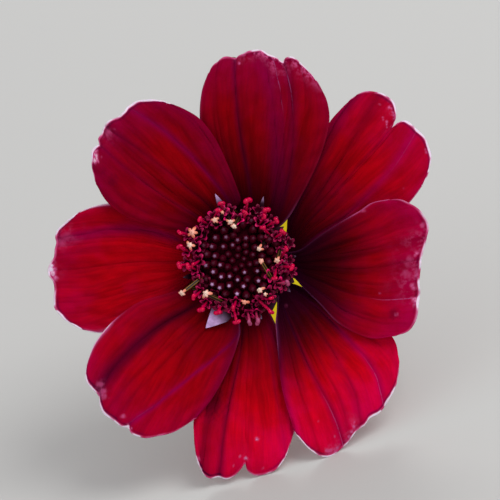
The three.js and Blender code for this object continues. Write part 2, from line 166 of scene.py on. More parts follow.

# The petals, in millimetres in the flower's own frame. left and right are the side edges from the claw
# outwards, left the anticlockwise one, and tip is the lobed edge between their ends. lift says which sides
# lie over their neighbour, arch is the height of the crown, tip_rise how far the tip rises, and folds are
# broad troughs: place across and depth. creases are the values of Crease. rims says how pale the painted
# highlights along the left and the right edge are: near the claw, further out, and where along the blade they
# change. edges is where the painted highlight on the tip's rim is paler (place across, width, strength), and
# frost where the blade inside it is mottled (the same, with the depth in millimetres before the strength).
# spots are flecks: x, y, radius, and paleness, or darkness below zero, which on the fifth petal is a painted
# shadow of the sixth. base is the radius where the blackish base, part own colour and part painted shade, has
# half given way to red, how gradually, and how bright that red is, part own tone and part painted light and
# shade. cool is how far the tip turns to violet.
PETALS = (
    dict(
        left=((0.2, 4.6), (-1.1, 6.4), (-2.5, 9.4), (-3.6, 12.2), (-4, 14.5), (-3.8, 17.1), (-3.2, 18.9)),
        tip=((-2.6, 19.8), (-1.8, 20.45), (-1.1, 20.6), (-0.4, 20.4), (-0.1, 20.7), (0.8, 21.1), (1.6, 21.25),
             (2.3, 21.15), (2.85, 20.8), (3.6, 20.5), (4.25, 20.05), (4.6, 20.45), (5.2, 20.5), (6.4, 19.6)),
        right=((3.1, 3.1), (4.05, 3.62), (4.85, 4.47), (6.1, 6.6), (7.5, 9.4), (8.4, 11.8), (8.9, 14.4),
               (8.6, 16.3), (7.8, 17.9)),
        lift=(-1, 1), arch=0.35, tip_rise=-0.4, folds=((0.26, 0.45), (0.64, 0.55)),
        creases=((0.41, 0.25, 0.85, 0.6, 0.05, 0.022), (0.87, 0.65, 0.6, 0.8, 0.6, 0.03),
                 (0.84, 0.545, 0.2, 0.6, 0.5, 0.02), (0.78, 0.47, 0.35, 1.0, 0, 0.06),
                 (0.2, 0.12, 0.25, 0, 0, 0.02)),
        rims=((0.1, 0.5, 0.55), (0.6, 0.05, 0.2)), edges=((0.5, 0.12, 0.9), (0.85, 0.16, 0.7)),
        frost=((0.45, 0.13, 0.6, 1.5), (0.57, 0.05, 1.3, 1.2), (0.84, 0.15, 0.95, 2.0)),
        spots=((-0.05, 19.9, 0.12, 0.55),),
        base=(10.25, 2.5, 0.64), cool=0.9,
    ),
    dict(
        left=((4.3, 1.7), (4.7, 3), (4.83, 4.4), (5.5, 6.8), (7, 10.4), (9, 14), (10.1, 15.3), (11.1, 16.3)),
        tip=((12.2, 17), (13.1, 17.15), (14, 17), (14.8, 16.6), (15.35, 16.25), (15.6, 15.7), (15.7, 14.9),
             (15.6, 14.3), (15.35, 13.6), (15.7, 13.85), (16.6, 14.2), (17.5, 13.6), (18.4, 12.7),
             (19.1, 11.2), (19.15, 10), (18.85, 8.8)),
        right=((4.6, 0.1), (6.2, 0.8), (8.8, 2), (11.5, 2.9), (14.4, 4.3), (16.6, 5.6), (18.3, 7.7)),
        lift=(-1, -1), arch=-0.2, tip_rise=0, folds=((0.3, 0.35), (0.5, 0.5)),
        creases=((0.42, 0.2, 0.45, 0, 0, 0.035), (0.88, 0.62, 0.12, 1.05, 0.1, 0.03),
                 (0.5, 0.45, 0.25, 0.2, 0, 0.02), (0.15, 0.04, 0.85, 0.3, 0, 0.055)),
        rims=((0.45, 0.02, 0.55), (0, 1.0, 0.55)),
        edges=((0.3, 0.1, 1.0), (0.58, 0.07, 1.0), (0.8, 0.18, 1.4)), frost=((0.36, 0.07, 0.8, 1.1),),
        spots=((14.7, 14.05, 0.1, 0.5), (14.7, 13.8, 0.1, 0.55), (14.71, 13.55, 0.09, 0.5),
               (14.35, 14.5, 0.09, 0.4), (14.4, 14.25, 0.08, 0.35), (15, 15.5, 0.16, 0.5),
               (15.2, 15.4, 0.14, 0.5), (15.35, 15, 0.1, 0.45), (15.4, 14.7, 0.1, 0.4),
               (15.42, 14.4, 0.09, 0.4), (18.6, 11.3, 0.14, 0.3), (18.7, 11.05, 0.14, 0.35),
               (16.4, 7.4, 0.09, 0.1), (14, 15.8, 0.08, 0.2)),
        base=(12.1, 2.15, 1.0), cool=0.5,
    ),
    dict(
        left=((4.6, 0.9), (6, 1.2), (8.1, 2.7), (10.1, 4), (12, 5.1), (13.2, 5.9), (14.7, 6.2)),
        tip=((16, 6.2), (17.3, 5.6), (18.3, 4.6), (18.7, 3.4), (18.6, 2.4), (18.35, 1.4), (18.1, 0.5),
             (17.95, -0.6), (17.85, -1.7), (17.9, -2.9), (17.85, -3.8), (17.65, -5.1), (17.4, -6),
             (16.6, -6.9)),
        right=((4.5, -1.2), (5.5, -1.65), (6.3, -2.5), (8.1, -4.3), (9.7, -6), (11.6, -7.1), (13.2, -7.6),
               (15.4, -7.4)),
        lift=(1, 1), arch=-0.4, tip_rise=2, folds=((0.36, 0.35), (0.7, 0.35)),
        creases=((0.69, 0.71, 0.1, 0.2, 0.65, 0.015), (0.48, 0.5, 0.45, 0, 0, 0.03),
                 (0.3, 0.37, 0.3, 0, 0, 0.03), (0.6, 0.62, 0.2, 0, 0, 0.02), (0.85, 0.88, 0.2, 0.3, 0, 0.03)),
        rims=((0.15, 0.8, 0.62), (0.3, 0.05, 0.55)),
        edges=((0.28, 0.06, 0.5), (0.55, 0.16, 0.5), (0.73, 0.05, 1.0)),
        frost=((0.36, 0.05, 1.7, 0.45), (0.5, 0.19, 1.8, 0.42), (0.62, 0.07, 1.4, 0.6)),
        spots=((12.3, 5.15, 0.18, 0.3), (14, -3.1, 0.09, 0.25), (15.4, -5.15, 0.5, -0.7),
               (15.55, -5.3, 0.12, 0.3), (15.75, -5.22, 0.12, 0.3), (17.65, 0.85, 0.18, 0.5),
               (17.5, 0.65, 0.15, 0.35), (17.15, -2.3, 0.2, 0.5), (17.35, -2.6, 0.2, 0.5),
               (17.5, -3.8, 0.35, 0.6), (17.45, -4.25, 0.2, 0.35), (18.2, 3.7, 0.25, 0.4),
               (16.95, 0.3, 0.3, 0.2), (16.75, -0.2, 0.3, 0.15), (16.6, -1.1, 0.4, 0.22),
               (16.9, -1.4, 0.3, 0.18)),
        base=(12.4, 1.35, 0.94), cool=1.05,
    ),
    dict(
        left=((4.2, -2), (5.4, -2.25), (6.3, -2.6), (8, -3.4), (10.2, -4.6), (12.8, -6), (14.6, -6.9),
              (15.5, -8), (15.9, -10)),
        tip=((15.75, -11.6), (15.4, -12.8), (14.8, -13.8), (13.9, -15.05), (12.9, -15.6), (12.4, -16.3),
             (11.6, -16.8), (11.1, -17.5), (10.4, -18.4), (9.5, -19.1), (8.7, -19.4), (7.4, -19),
             (6.4, -18.1)),
        right=((3.82, -3.5), (3.72, -4.8), (3.6, -6.1), (3.7, -7.4), (3.9, -9.7), (4.1, -11.8), (4.5, -13.8),
               (5.5, -17)),
        lift=(-1, 1), arch=0.2, tip_rise=1.2, folds=((0.3, 0.3), (0.66, 0.5)),
        creases=((0.71, 0.63, 0.6, 0.8, 0.42, 0.024), (0.145, 0.285, 0.15, 1.15, 0.5, 0.025),
                 (0.31, 0.48, 0.35, 0.2, 0, 0.03), (0.85, 0.8, 0.2, 0, 0, 0.02),
                 (0.5, 0.58, 0.2, 0.1, 0, 0.02), (1, 0.99, 0.4, 0.85, 0, 0.035)),
        rims=((0.3, 0, 0.55), (0.75, 0.03, 0.42)),
        edges=((0.2, 0.09, 1.0), (0.36, 0.12, 0.9), (0.56, 0.06, 0.5), (0.86, 0.16, 0.9)),
        frost=((0.54, 0.045, 0.95, 0.9), (0.68, 0.09, 0.7, 1.1)),
        spots=((7.8, -15.9, 0.09, 0.15), (9.4, -17.4, 0.1, 0.35), (11.4, -16, 0.12, 0.45),
               (11.35, -16.4, 0.15, 0.5), (11.15, -16.9, 0.18, 0.5), (10.9, -17.4, 0.2, 0.5),
               (9.7, -18.5, 0.22, 0.45), (9.1, -18.75, 0.22, 0.45), (8.6, -18.8, 0.22, 0.45),
               (4.65, -4.45, 0.16, 0.06)),
        base=(12.5, 1.4, 1.5), cool=0.55,
    ),
    dict(
        left=((2.3, -4.1), (3, -5.2), (3.5, -6.2), (4.5, -8.5), (5.2, -11.3), (5.7, -14.3), (5.6, -16.3)),
        tip=((5.1, -17.8), (4.6, -19.3), (3.5, -20.75), (2.2, -21.2), (1.5, -21.3), (0.8, -20.8),
             (0.48, -20.1), (0.2, -20.5), (-0.6, -21.35), (-1.3, -21.65), (-2.1, -21.5), (-2.95, -21.6),
             (-3.6, -21.2), (-4.2, -20)),
        right=((-0.2, -4.8), (-1.4, -6.2), (-2.4, -8.8), (-3.5, -11.5), (-4.3, -13.9), (-4.6, -15.8),
               (-4.5, -18.4)),
        lift=(-1, -1), arch=0.1, tip_rise=1.8, folds=((0.55, 0.3), (0.76, 0.5)),
        creases=((0.59, 0.72, 0.75, 0.5, 0, 0.022), (0.38, 0.5, 0.15, 0, 0, 0.02),
                 (0.12, 0.0, 0.4, 0.6, 0, 0.06), (0.25, 0.2, 0.15, 0.3, 0, 0.02),
                 (0.9, 0.85, 0.2, 0, 0, 0.03), (0.71, 0.84, 0.7, 0, 0, 0.09)),
        rims=((0.5, 0, 0.55), (0.05, 0, 0.55)), edges=((0.27, 0.1, 0.6), (0.82, 0.16, 0.7)),
        frost=((0.5, 0.04, 0.9, 0.5),),
        spots=((1.66, -17.7, 0.15, 0.85), (0.63, -19.55, 0.17, 0.8), (0, -19.4, 0.11, 0.4),
               (-0.64, -20.3, 0.12, 0.25), (-4.2, -19.6, 0.2, 0.4), (2.3, -20.5, 0.1, 0.2),
               (-2.9, -14, 1.4, -0.35)),
        base=(11.5, 3.2, 1.65), cool=0.5,
    ),
    dict(
        left=((-1.2, -4.6), (-0.3, -5.6), (0, -6.8), (-0.5, -8.9), (-1.6, -11.5), (-3, -13.9), (-4.4, -15.6)),
        tip=((-6.6, -16.9), (-8.5, -17.4), (-9.7, -17.5), (-10.7, -17.1), (-11.2, -16.5), (-11.7, -16.4),
             (-12.7, -15.75), (-13.6, -15.1), (-13.95, -14.2), (-14.1, -13.3), (-14.7, -12.7),
             (-15.3, -11.9)),
        right=((-3.4, -3), (-5.4, -2.8), (-8, -3.4), (-10, -4), (-11.8, -5.2), (-13.4, -6.7), (-14.6, -8.4),
               (-15.3, -10.4)),
        lift=(1, 1), arch=0.5, tip_rise=0.4, folds=((0.36, 0.35), (0.7, 0.45)),
        creases=((0.64, 0.8, 1.15, 0.35, 0, 0.06), (-0.15, 0.5, 0.1, 1.35, 0.1, 0.02),
                 (0.35, 0.58, 0.25, 0, 0, 0.02), (0.41, 0.66, 0.25, 0, 0, 0.02),
                 (0.02, 0.0, 0.5, 0.6, 0, 0.05)),
        rims=((0.5, 0.05, 0.28), (0.05, 1.4, 0.62)),
        edges=((0.4, 0.06, 0.5), (0.5, 0.02, 1.2), (0.66, 0.12, 1.2), (0.93, 0.12, 1.0)),
        frost=((0.79, 0.05, 0.9, 0.6),),
        spots=((-11.6, -15.35, 0.2, 0.4), (-11.15, -16.35, 0.2, 0.9), (-13.65, -12.85, 0.3, 0.38),
               (-13.6, -13.3, 0.3, 0.38), (-13.95, -12.2, 0.35, 0.3)),
        base=(8.2, 3.8, 1.03), cool=0.5,
    ),
    dict(
        left=((-4.5, -1.3), (-5.8, -3), (-8, -4.5), (-10.2, -5.7), (-12.2, -6.7), (-14, -7.1), (-15.7, -6.8)),
        tip=((-17.2, -6), (-18, -5.35), (-18.5, -4.5), (-18.6, -3.7), (-18.55, -2.7), (-18.7, -1.9),
             (-19.1, -1.4), (-19.2, -0.7), (-18.95, -0.1), (-18.6, 0.4), (-18.55, 1.2), (-18.35, 1.9),
             (-18.5, 2.5), (-18.3, 3.1), (-17.5, 3.95), (-16.7, 4.6)),
        right=((-4.5, 1.4), (-5.8, 3), (-7.5, 4.3), (-9.5, 5.4), (-11.5, 5.9), (-13.3, 5.85), (-14.9, 5.5),
               (-15.9, 5.05)),
        lift=(-1, -1), arch=-0.2, tip_rise=1, folds=((0.5, 0.3), (0.76, 0.4)),
        creases=((0.86, 0.72, 0.5, 1.1, 0, 0.04), (0.49, 0.5, 0.3, 0, 0, 0.03), (0.23, 0.28, 0.2, 0, 0, 0.02),
                 (0.64, 0.62, 0.15, 0, 0, 0.02)),
        rims=((0, 1.55, 0.58), (0, 1.55, 0.58)),
        edges=((0.5, 0.06, 0.9), (0.12, 0.15, 1.5), (0.9, 0.14, 1.6)),
        frost=((0.5, 0.05, 0.8, 0.5), (0.75, 0.07, 1.5, 0.6)),
        spots=((-18.95, -0.3, 0.35, 0.85), (-18.95, -0.75, 0.4, 0.95), (-18.75, -1.15, 0.35, 0.7),
               (-18.5, -1.6, 0.3, 0.5), (-17.8, 1.9, 0.5, 0.16), (-17.5, 2.5, 0.5, 0.12)),
        base=(3.2, 1.6, 0.94), cool=0.45,
    ),
    dict(
        left=((-3.8, 2.6), (-5.2, 2.6), (-6.6, 3.2), (-8.5, 3.5), (-10.6, 4.2), (-12.1, 5), (-13.4, 6.2),
              (-14.35, 7.8)),
        tip=((-14.65, 9), (-14.8, 10.3), (-14.7, 11.1), (-14.4, 11.5), (-14.05, 11.75), (-14.1, 12.25),
             (-13.8, 12.75), (-13.6, 13.4), (-13.1, 14), (-12.2, 14.45), (-11.5, 14.95), (-11.2, 15.5),
             (-10.2, 16.03), (-8.8, 16.2), (-7.75, 16.05), (-6.95, 15.8)),
        right=((-1.6, 4.3), (-0.8, 5.3), (0, 6.1), (-0.4, 7.6), (-1.2, 9.6), (-2.5, 12.3), (-4, 14.25),
               (-5.3, 15.1), (-6.6, 15.65)),
        lift=(1, 1), arch=0.5, tip_rise=0.2, folds=((0.4, 0.35), (0.72, 0.5)),
        creases=((0.88, 0.65, 0.25, 1.2, 0.05, 0.027), (0.36, 0.3, 0.35, 0.5, 0, 0.02),
                 (0.62, 0.44, 0.45, 0.3, 0, 0.025), (0.45, 0.38, 0.2, 0, 0, 0.02),
                 (0.98, 0.92, 0.4, 0.5, 0, 0.08)),
        rims=((0, 0, 0.5), (0, 0, 0.5)),
        edges=((0.22, 0.07, 1.2), (0.46, 0.07, 0.9), (0.68, 0.12, 1.0), (0.88, 0.12, 1.6)),
        frost=((0.24, 0.05, 0.6, 1.0), (0.42, 0.05, 0.9, 0.7)),
        spots=((-14.4, 10.15, 0.28, 0.75), (-14.45, 10.6, 0.28, 0.8), (-14.5, 11, 0.22, 0.7),
               (-13.1, 12.9, 0.4, 0.25), (-12.7, 8.1, 0.5, -0.5), (-13.6, 9, 0.35, -0.3)),
        base=(6.9, 1.35, 0.59), cool=0.85,
    ),
)

# Disc, in millimetres in the flower's own frame. The corollas, stars, anther tubes and buds have five lobes
LOBES = 5
DISC_MIDDLE = np.array([0.12, 0.3])
DISC_CENTRE_HEIGHT = 3.7
DISC_DOME = 0.45
DISC_DOME_PHASE = 3.0
DISC_RIM_FROM = 0.75
DISC_RIM_DROP = 1.1
RECEPTACLE = (
    (1.0, -2.1), (2.4, -2), (3.8, -1.2), (4.05, -0.8), (4.1, 0.6), (4.9, 1.2), (4.9, 1.5), (4.2, 2.2),
    (2.8, 2.7), (1.0, 2.9),
)
RECEPTACLE_SIDES = 64

# Buds: the power and the wander of their spiral, how far apart they push each other and how much of that in
# the middle, their form, and how far out their roots stand against their tips. Between which places along a
# bud the tip's colour, a painted reflection, sets in, and how pale the lilac tips are: BUD_PALENESS level
# with the flower's axis, more below it and less above as painted light, times a drawn number, and a drawn
# number for the dark ones
BUD_POWER = 0.55
BUD_WANDER = 0.03
BUD_GAP = 0.9
BUD_CROWDING = 0.6
SETTLING_ROUNDS = 60
SETTLING_SHARE = 0.3
BUD_LENGTH = 1.5
BUD_UNEVEN = 0.05
BUD_ROOTS = 0.9
BUD_HALF_WIDTH = 0.32
BUD_WIDENING = 0.16
BUD_SIDES = 15
BUD_TIP = (0.945, 0.988)
BUD_PALENESS = 0.43
BUD_FADE = 3.6
LILAC_BUDS = (0.85, 1.2)
DARK_BUDS = (0, 0.08)
# Place along a bud, width there, and how deep its five lobes are
BUD_PROFILE = (
    (0, 0.75, 0), (0.15, 0.9, 0), (0.4, 1.0, 0), (0.6, 0.98, 0.03), (0.74, 0.9, 0.08), (0.84, 0.76, 0.14),
    (0.91, 0.58, 0.18), (0.955, 0.42, 0.2), (0.98, 0.3, 0.2), (0.995, 0.18, 0.16), (1.0, 0.06, 0.08),
)
# Tips of the buds that are lilac with a painted reflection; those that hold no place here are dark
HIGHLIT_BUDS = (
    (-2.5, 2.45), (-1.4, 2.5), (-0.25, 2.2), (0.6, 2.4), (-0.75, 1.7), (-2.85, 1.55), (-1.7, 1.55),
    (-2.55, 0.6), (-3.45, -0.35), (-2, -0.3), (-2.7, -1), (-1.9, -1.5), (-1.05, -1.45), (-0.25, -1.8),
    (-2.8, -2.25), (-2.05, -2.6), (-1.1, -2.4), (0.35, -2.45), (-0.3, -3.2), (0.45, -1.05), (1.75, -0.9),
    (1.85, -1.9),
)

# Open florets: heights of their mouths and tips and how uneven those are, which part of the spiral has plain
# florets, how bright the lobes of both kinds are, the corolla's tube as radius and height, its lobes, their
# curl, and the roots that the tubes lean away from. Then the anther tubes, the stars and the curled styles
MOUTH_HEIGHT = 3.5
MOUTH_UNEVEN = 0.25
PLAIN_MOUTH_HEIGHT = 3.1
FRESH_TIP_HEIGHT = 4.7
MATURE_TIP_HEIGHT = 4.5
TIP_UNEVEN = 0.2
PLAIN_FLORETS = (0.7, 1.15)
OPEN_BRIGHTNESS = (0.4, 1)
PLAIN_BRIGHTNESS = (0.05, 0.45)
LOBE_BRIGHTNESS = (0.25, 1.55)
FLORET_SIDES = 40
COROLLA_TUBE = ((0.12, -1.5), (0.2, -0.9), (0.28, -0.4))
COROLLA_MOUTH = 0.36
COROLLA_NOTCH = 0.1
COROLLA_LOBE = 0.46
COROLLA_LOBE_POWER = 1.1
COROLLA_LENGTHS = (0.8, 1.2)
COROLLA_SIZES = (0.85, 1.1)
COROLLA_CURL = (0.22, 0.42)
COROLLA_STEPS = 8
COROLLA_WALL = 0.05
COROLLA_SLANT = 0.035
COROLLA_ROOT_SPREAD = 0.75
COROLLA_ROOT_HEIGHT = 1.4
ANTHER_RADIUS = 0.2
ANTHER_FOOT = 0.5
ANTHER_RIB = 0.1
ANTHER_TAPER = 0.25
ANTHER_STEPS = 9
ANTHER_SIDES = 30
GOLDEN_ON_RIB = (0.3, 0.9)
STAR_SIZE = 0.87
STAR_POINT = 1.9
STAR_POINT_POWER = 1.3
STAR_LENGTH = 0.5
STAR_LENGTHS = (-0.45, 0.35)
STAR_DROOP = 0.8
STAR_UNEVEN = 0.015
STAR_FACING = 0.8
STAR_MIDDLE = (0.42, 0.12)
# Radius and height along a star, and how far its points stand out there
STAR_PROFILE = (
    (0.1, -0.1, 0.2), (0.19, -0.08, 0.8), (0.23, -0.01, 1), (0.23, 0.06, 1), (0.18, 0.13, 0.8),
    (0.11, 0.17, 0.4), (0.04, 0.18, 0),
)
STYLE_RADIUS = 0.14
STALK_SIDES = 10
STALK_FOOT = -0.4
STALK_VALUE = 0.5
STALK_PROFILE = (0.8, 0.8, 0.8, 0.85, 0.9, 1, 1.1, 0.9)
KNOB_CURL = 0.125
KNOB_CURLS = (0.85, 1.2)
KNOB_TURN = (3.6, 4.6)
KNOB_THICKNESS = 0.2
KNOB_SIDES = 12
KNOB_PROFILE = (0.7, 0.95, 1.05, 1.1, 1.1, 1.1, 1.1, 1.05, 1.05, 1, 0.95, 0.85, 0.65, 0.3)
# Open florets with a star on their anthers: where the star is, where the tube comes out of its corolla, how
# pale and how large the star is, and how golden the tube's ribs are
FRESH_FLORETS = (
    (-2.5, 4.2, -2.3, 3.8, 0.5, 1.0, 0), (-0.95, 4.0, -1.15, 4.5, 0.9, 1.0, 0),
    (-0.6, 3.55, -0.25, 4.2, 0.9, 1.0, 0.3), (-4.75, 2.95, -4.15, 2.85, 0.3, 1.25, 0),
    (-5.0, 1.7, -4.4, 1.5, 0.8, 1.1, 0), (-1.75, 4.95, -1.9, 4.3, 0.2, 0.6, 0),
    (1.9, 1.3, 2.45, 1.95, 0.7, 1.0, 0), (2.1, 0.1, 2.95, -1.3, 0.35, 1.1, 1.0),
    (3.7, 0.15, 3.95, 1.0, 0.5, 1.05, 0.5), (-5.8, -3.1, -4.2, -1.85, 0.95, 1.05, 1.0),
    (-3.4, -3.15, -1.8, -3.9, 1.0, 1.3, 0.6), (0.45, -4.0, 0.75, -4.4, 0.15, 1.0, 0),
    (1.95, -2.8, 2.7, -3.0, 0.9, 1.1, 0), (2.5, -3.2, 3.0, -3.6, 0.7, 0.7, 0),
)
# Older florets whose style has curled up into a knob: the knob's place, the corolla's, and the knob's size
MATURE_FLORETS = (
    (0.75, 6.05, 0.6, 5.0, 1.15), (2.65, 5.15, 2.2, 4.4, 1.05), (2.4, 4.55, 2.0, 3.9, 0.8),
    (-4.0, 4.25, -3.4, 3.9, 0.8), (-1.85, 5.8, -1.7, 5.0, 0.9), (-2.15, 5.1, -2.6, 4.5, 0.85),
    (0.5, 4.9, 0.4, 4.1, 0.8), (3.6, 4.1, 2.7, 3.6, 0.9), (2.3, 3.4, 2.9, 2.8, 0.8),
    (4.25, 2.95, 3.6, 2.5, 0.9), (-6.0, 2.95, -5.1, 2.7, 0.85), (-6.0, 1.5, -5.2, 1.1, 0.9),
    (-6.0, -0.35, -5.2, -0.2, 0.95), (-5.15, -0.4, -4.5, -0.7, 0.95), (-4.7, -0.3, -4.1, 0.1, 0.7),
    (5.15, -0.5, 4.1, -0.45, 0.95), (-3.85, -4.7, -3.3, -4.0, 1.1), (-4.6, -3.5, -3.9, -2.9, 0.85),
    (-2.2, -5.0, -1.9, -4.4, 1.0), (-0.35, -5.9, -0.6, -4.8, 0.95), (-0.65, -4.6, -0.4, -3.9, 0.8),
    (3.1, -4.95, 1.75, -3.75, 0.9), (3.1, -3.6, 2.2, -3.7, 0.8), (3.45, -1.6, 3.6, -0.7, 0.7),
    (4.6, 1.3, 4.1, 0.4, 0.75), (0.95, -6.0, 0.8, -5.1, 0.9), (1.75, -5.95, 1.6, -5.0, 1.0),
    (4.7, -2.1, 3.8, -2.1, 0.9),
)
# The last of these have faded to lilac
LILAC_KNOBS = 3
# Base, tip, half-width and paleness of each scale. The last three, with no paleness, are dark pieces that
# border the glowing parts of the inner bracts
SCALES = (
    (-0.9, -4.1, -3.43, -6.62, 1.05, 1.0), (-1.4, 4.7, -2.48, 6.82, 0.38, 0.6),
    (2.0, 4.7, 2.34, 6.55, 0.24, 0.33), (4.2, 2.7, 5.2, 2.15, 0.3, 0.25),
    (4.1, -2.1, 5.05, -3.0, 0.35, 0.16), (-4.7, -1.4, -5.7, -1.55, 0.25, 0.08),
    (1.2, -4.6, 2.2, -5.7, 0.45, 0.25), (4.9, 0.4, 5.6, 0.6, 0.3, 0.1), (2.8, 2.45, 4.4, 3.55, 0.52, 0),
    (4.3, -1.4, 5.45, -2.05, 0.6, 0), (3.08, -2.7, 3.05, -5.2, 0.68, 0),
)
SCALE_FOOT = 2.2
SCALE_RISE = 0.7
SCALE_TAPER = 0.55
SCALE_FLATNESS = 0.09
SCALE_TIP = 0.02
SCALE_STEPS = 22
SCALE_SIDES = 16

# Bracts. The first numbers are the directions of the inner ones, in degrees. A painted glow stands for the
# light that shines through those between the two angles of INNER_BRACTS_LIT, and sets in between the two
# shares of
# INNER_BRACT_LIT outwards. Elsewhere the inner bracts take a painted shade
INNER_BRACTS = (-145, -100, -58, -18, 43, 86, 130, 172)
INNER_BRACTS_LIT = (-72, 62)
INNER_BRACT_PROFILE = ((0, -2.6), (2.5, -2.4), (4.2, -1.6), (5.2, -1.1), (6.2, -0.5), (7.3, 0))
INNER_BRACT_NOTCH = 5.2
INNER_BRACT_CROWN = 0.1
INNER_BRACT_KEEL = 0.06
INNER_BRACT_KEEL_GROWS = (3, 6)
INNER_BRACT_THICKNESS = 0.5
INNER_BRACT_THINNING = 0.6
INNER_BRACT_STEPS = 26
INNER_BRACT_SIDES = 240
INNER_BRACT_LIT = (0.45, 0.68)
INNER_BRACT_LIT_EDGE = 0.1
OUTER_BRACTS = 8
OUTER_BRACT_TURN = 8
OUTER_BRACT_STEPS = 30
OUTER_BRACT_SIDES = 20
OUTER_BRACT_FLATNESS = 0.26
OUTER_BRACT_KEEL = 0.16
OUTER_BRACT_BLUSH = 0.9
# Distance from the axis, height and half-width along one outer bract
OUTER_BRACT_RIB = (
    (1.4, -4, 0.5), (3, -3.7, 0.7), (4.6, -3.1, 0.85), (6.4, -2.5, 0.75), (8, -2.2, 0.4), (8.8, -2.2, 0.06),
)
OUTER_BRACT_HUB = ((0.6, -4.5), (1.2, -4.5), (2.1, -4.3), (2.3, -3.9), (1.6, -3.6), (0.6, -3.6))
HUB_SIDES = 48

# Stem, in millimetres in the row frame. It starts at STEM_TOP on the flower's axis, leaves along it for
# STEM_LEAD, and from the head it is STEM_TOUCH to where it lies down and STEM_REACH to its end
STEM_RADIUS = 0.95
STEM_NECK_RADIUS = 1.3
STEM_TOP = -4.6
STEM_LEAD = 22
STEM_LANDING = 0.9
STEM_TOUCH = 70
STEM_REACH = 95
STEM_SWAY = 6.5
STEM_FLAT = 0.05
STEM_RIBS = 5
STEM_TWIST = 0.8
STEM_NECK = 0.1
STEM_STEPS = 220
STEM_SIDES = 60
STEM_WAVER = 0.02
STEM_WAVES = (5, 2, 9)

# Seeds of the drawn numbers: the first petal's is one more than PETAL_SEED, the second's two more
PETAL_SEED = 40
DISC_SEED = 7
LOBE_SEED = 5
STEM_SEED = 11


def facing_matrix():
    """Turn from the flower's own frame to the row frame: the roll about the flower's axis, then the tilt
    about the row's X axis that brings the axis from straight up to the face's elevation."""
    tilt = math.pi / 2 - FACE_ELEVATION
    roll = np.array([
        [math.cos(ROLL), -math.sin(ROLL), 0],
        [math.sin(ROLL), math.cos(ROLL), 0],
        [0, 0, 1],
    ])
    lean = np.array([
        [1, 0, 0],
        [0, math.cos(tilt), -math.sin(tilt)],
        [0, math.sin(tilt), math.cos(tilt)],
    ])
    return lean @ roll


def to_row(points):
    """Points of the flower's own frame, in millimetres, as points of the row frame, in metres."""
    return (points @ facing_matrix().T + HEAD_PLACE) * MM


def unit(vectors):
    return vectors / np.linalg.norm(vectors, axis=-1, keepdims=True)


def smoothstep(x, low, high):
    """0 below low, 1 above high, and 3t^2 - 2t^3 between them."""
    t = np.clip((x - low) / (high - low), 0, 1)
    return t * t * (3 - 2 * t)


def smooth_curve(points, fractions):
    """Centripetal Catmull-Rom curve through the points, at fractions of its length. Each segment is a cubic
    Hermite whose end slopes come from its neighbours, spaced by the square root of their distance."""
    p = np.asarray(points, float)
    p = np.vstack([2 * p[0] - p[1], p, 2 * p[-1] - p[-2]])
    gap = np.sqrt(np.linalg.norm(np.diff(p, axis=0), axis=1))[:, None]
    p0, p1, p2, p3 = p[:-3], p[1:-2], p[2:-1], p[3:]
    g0, g1, g2 = gap[:-2], gap[1:-1], gap[2:]
    m1 = ((p1 - p0) / g0 - (p2 - p0) / (g0 + g1) + (p2 - p1) / g1) * g1
    m2 = ((p2 - p1) / g1 - (p3 - p1) / (g1 + g2) + (p3 - p2) / g2) * g1
    t = np.linspace(0, 1, 25)[None, :-1, None]
    p1, p2, m1, m2 = (a[:, None] for a in (p1, p2, m1, m2))
    dense = (
        p1 * (2 * t ** 3 - 3 * t ** 2 + 1) + m1 * (t ** 3 - 2 * t ** 2 + t)
        + p2 * (3 * t ** 2 - 2 * t ** 3) + m2 * (t ** 3 - t ** 2)
    ).reshape(-1, p.shape[1])
    dense = np.vstack([dense, p[-2]])
    length = np.concatenate([[0], np.cumsum(np.linalg.norm(np.diff(dense, axis=0), axis=1))])
    at = np.asarray(fractions) * length[-1]
    return np.stack([np.interp(at, length, column) for column in dense.T], axis=-1)


def unit_circle(angles):
    """Points of the unit circle at the angles."""
    return np.stack([np.cos(angles), np.sin(angles)], axis=-1)


def ring_angles(sides):
    return np.arange(sides) / sides * FULL_TURN


def waves(x, random, count, lowest, highest):
    """Sum of count sines of x with drawn frequencies between lowest and highest turns and drawn phases,
    about one in height."""
    frequencies = random.uniform(lowest, highest, count)
    phases = random.uniform(0, FULL_TURN, count)
    total = np.sin(FULL_TURN * x[..., None] * frequencies + phases).sum(-1)
    return total / math.sqrt(count)


def ripples(u, v, random, count, lowest, highest):
    """Sum of count plane waves over u and v with drawn directions and phases, about one in height."""
    across, along = random.uniform(lowest, highest, (2, count))
    phases = random.uniform(0, FULL_TURN, count)
    sign = random.choice([-1, 1], count)
    turns = u[None, :, None] * across + v[:, None, None] * along * sign
    return np.sin(FULL_TURN * turns + phases).sum(-1) / math.sqrt(count)


def spread(count, marks):
    """Numbers from 0 to 1 that lie closer together round the marks, (place, width, how much denser)."""
    fine = np.linspace(0, 1, 4001)
    density = 1 + sum(more * np.exp(-((fine - at) / width) ** 2) for at, width, more in marks)
    total = np.concatenate([[0], np.cumsum((density[1:] + density[:-1]) / 2)])
    return np.interp(np.linspace(0, total[-1], count), total, fine)


def surface_normals(grid):
    """Unit normals of a grid of points, from the cross product of its two central differences."""
    along = np.gradient(grid, axis=0)
    across = np.gradient(grid, axis=1)
    return unit(np.cross(across, along))


def grid_quads(rows, columns, closed=False, start=0):
    """Quads of a grid of vertices numbered row by row; closed joins the last column to the first."""
    last = columns if closed else columns - 1
    row, column = np.meshgrid(np.arange(rows - 1), np.arange(last), indexing="ij")
    following = (column + 1) % columns
    quads = np.stack([
        row * columns + column, row * columns + following,
        (row + 1) * columns + following, (row + 1) * columns + column,
    ], axis=-1)
    return quads.reshape(-1, 4) + start


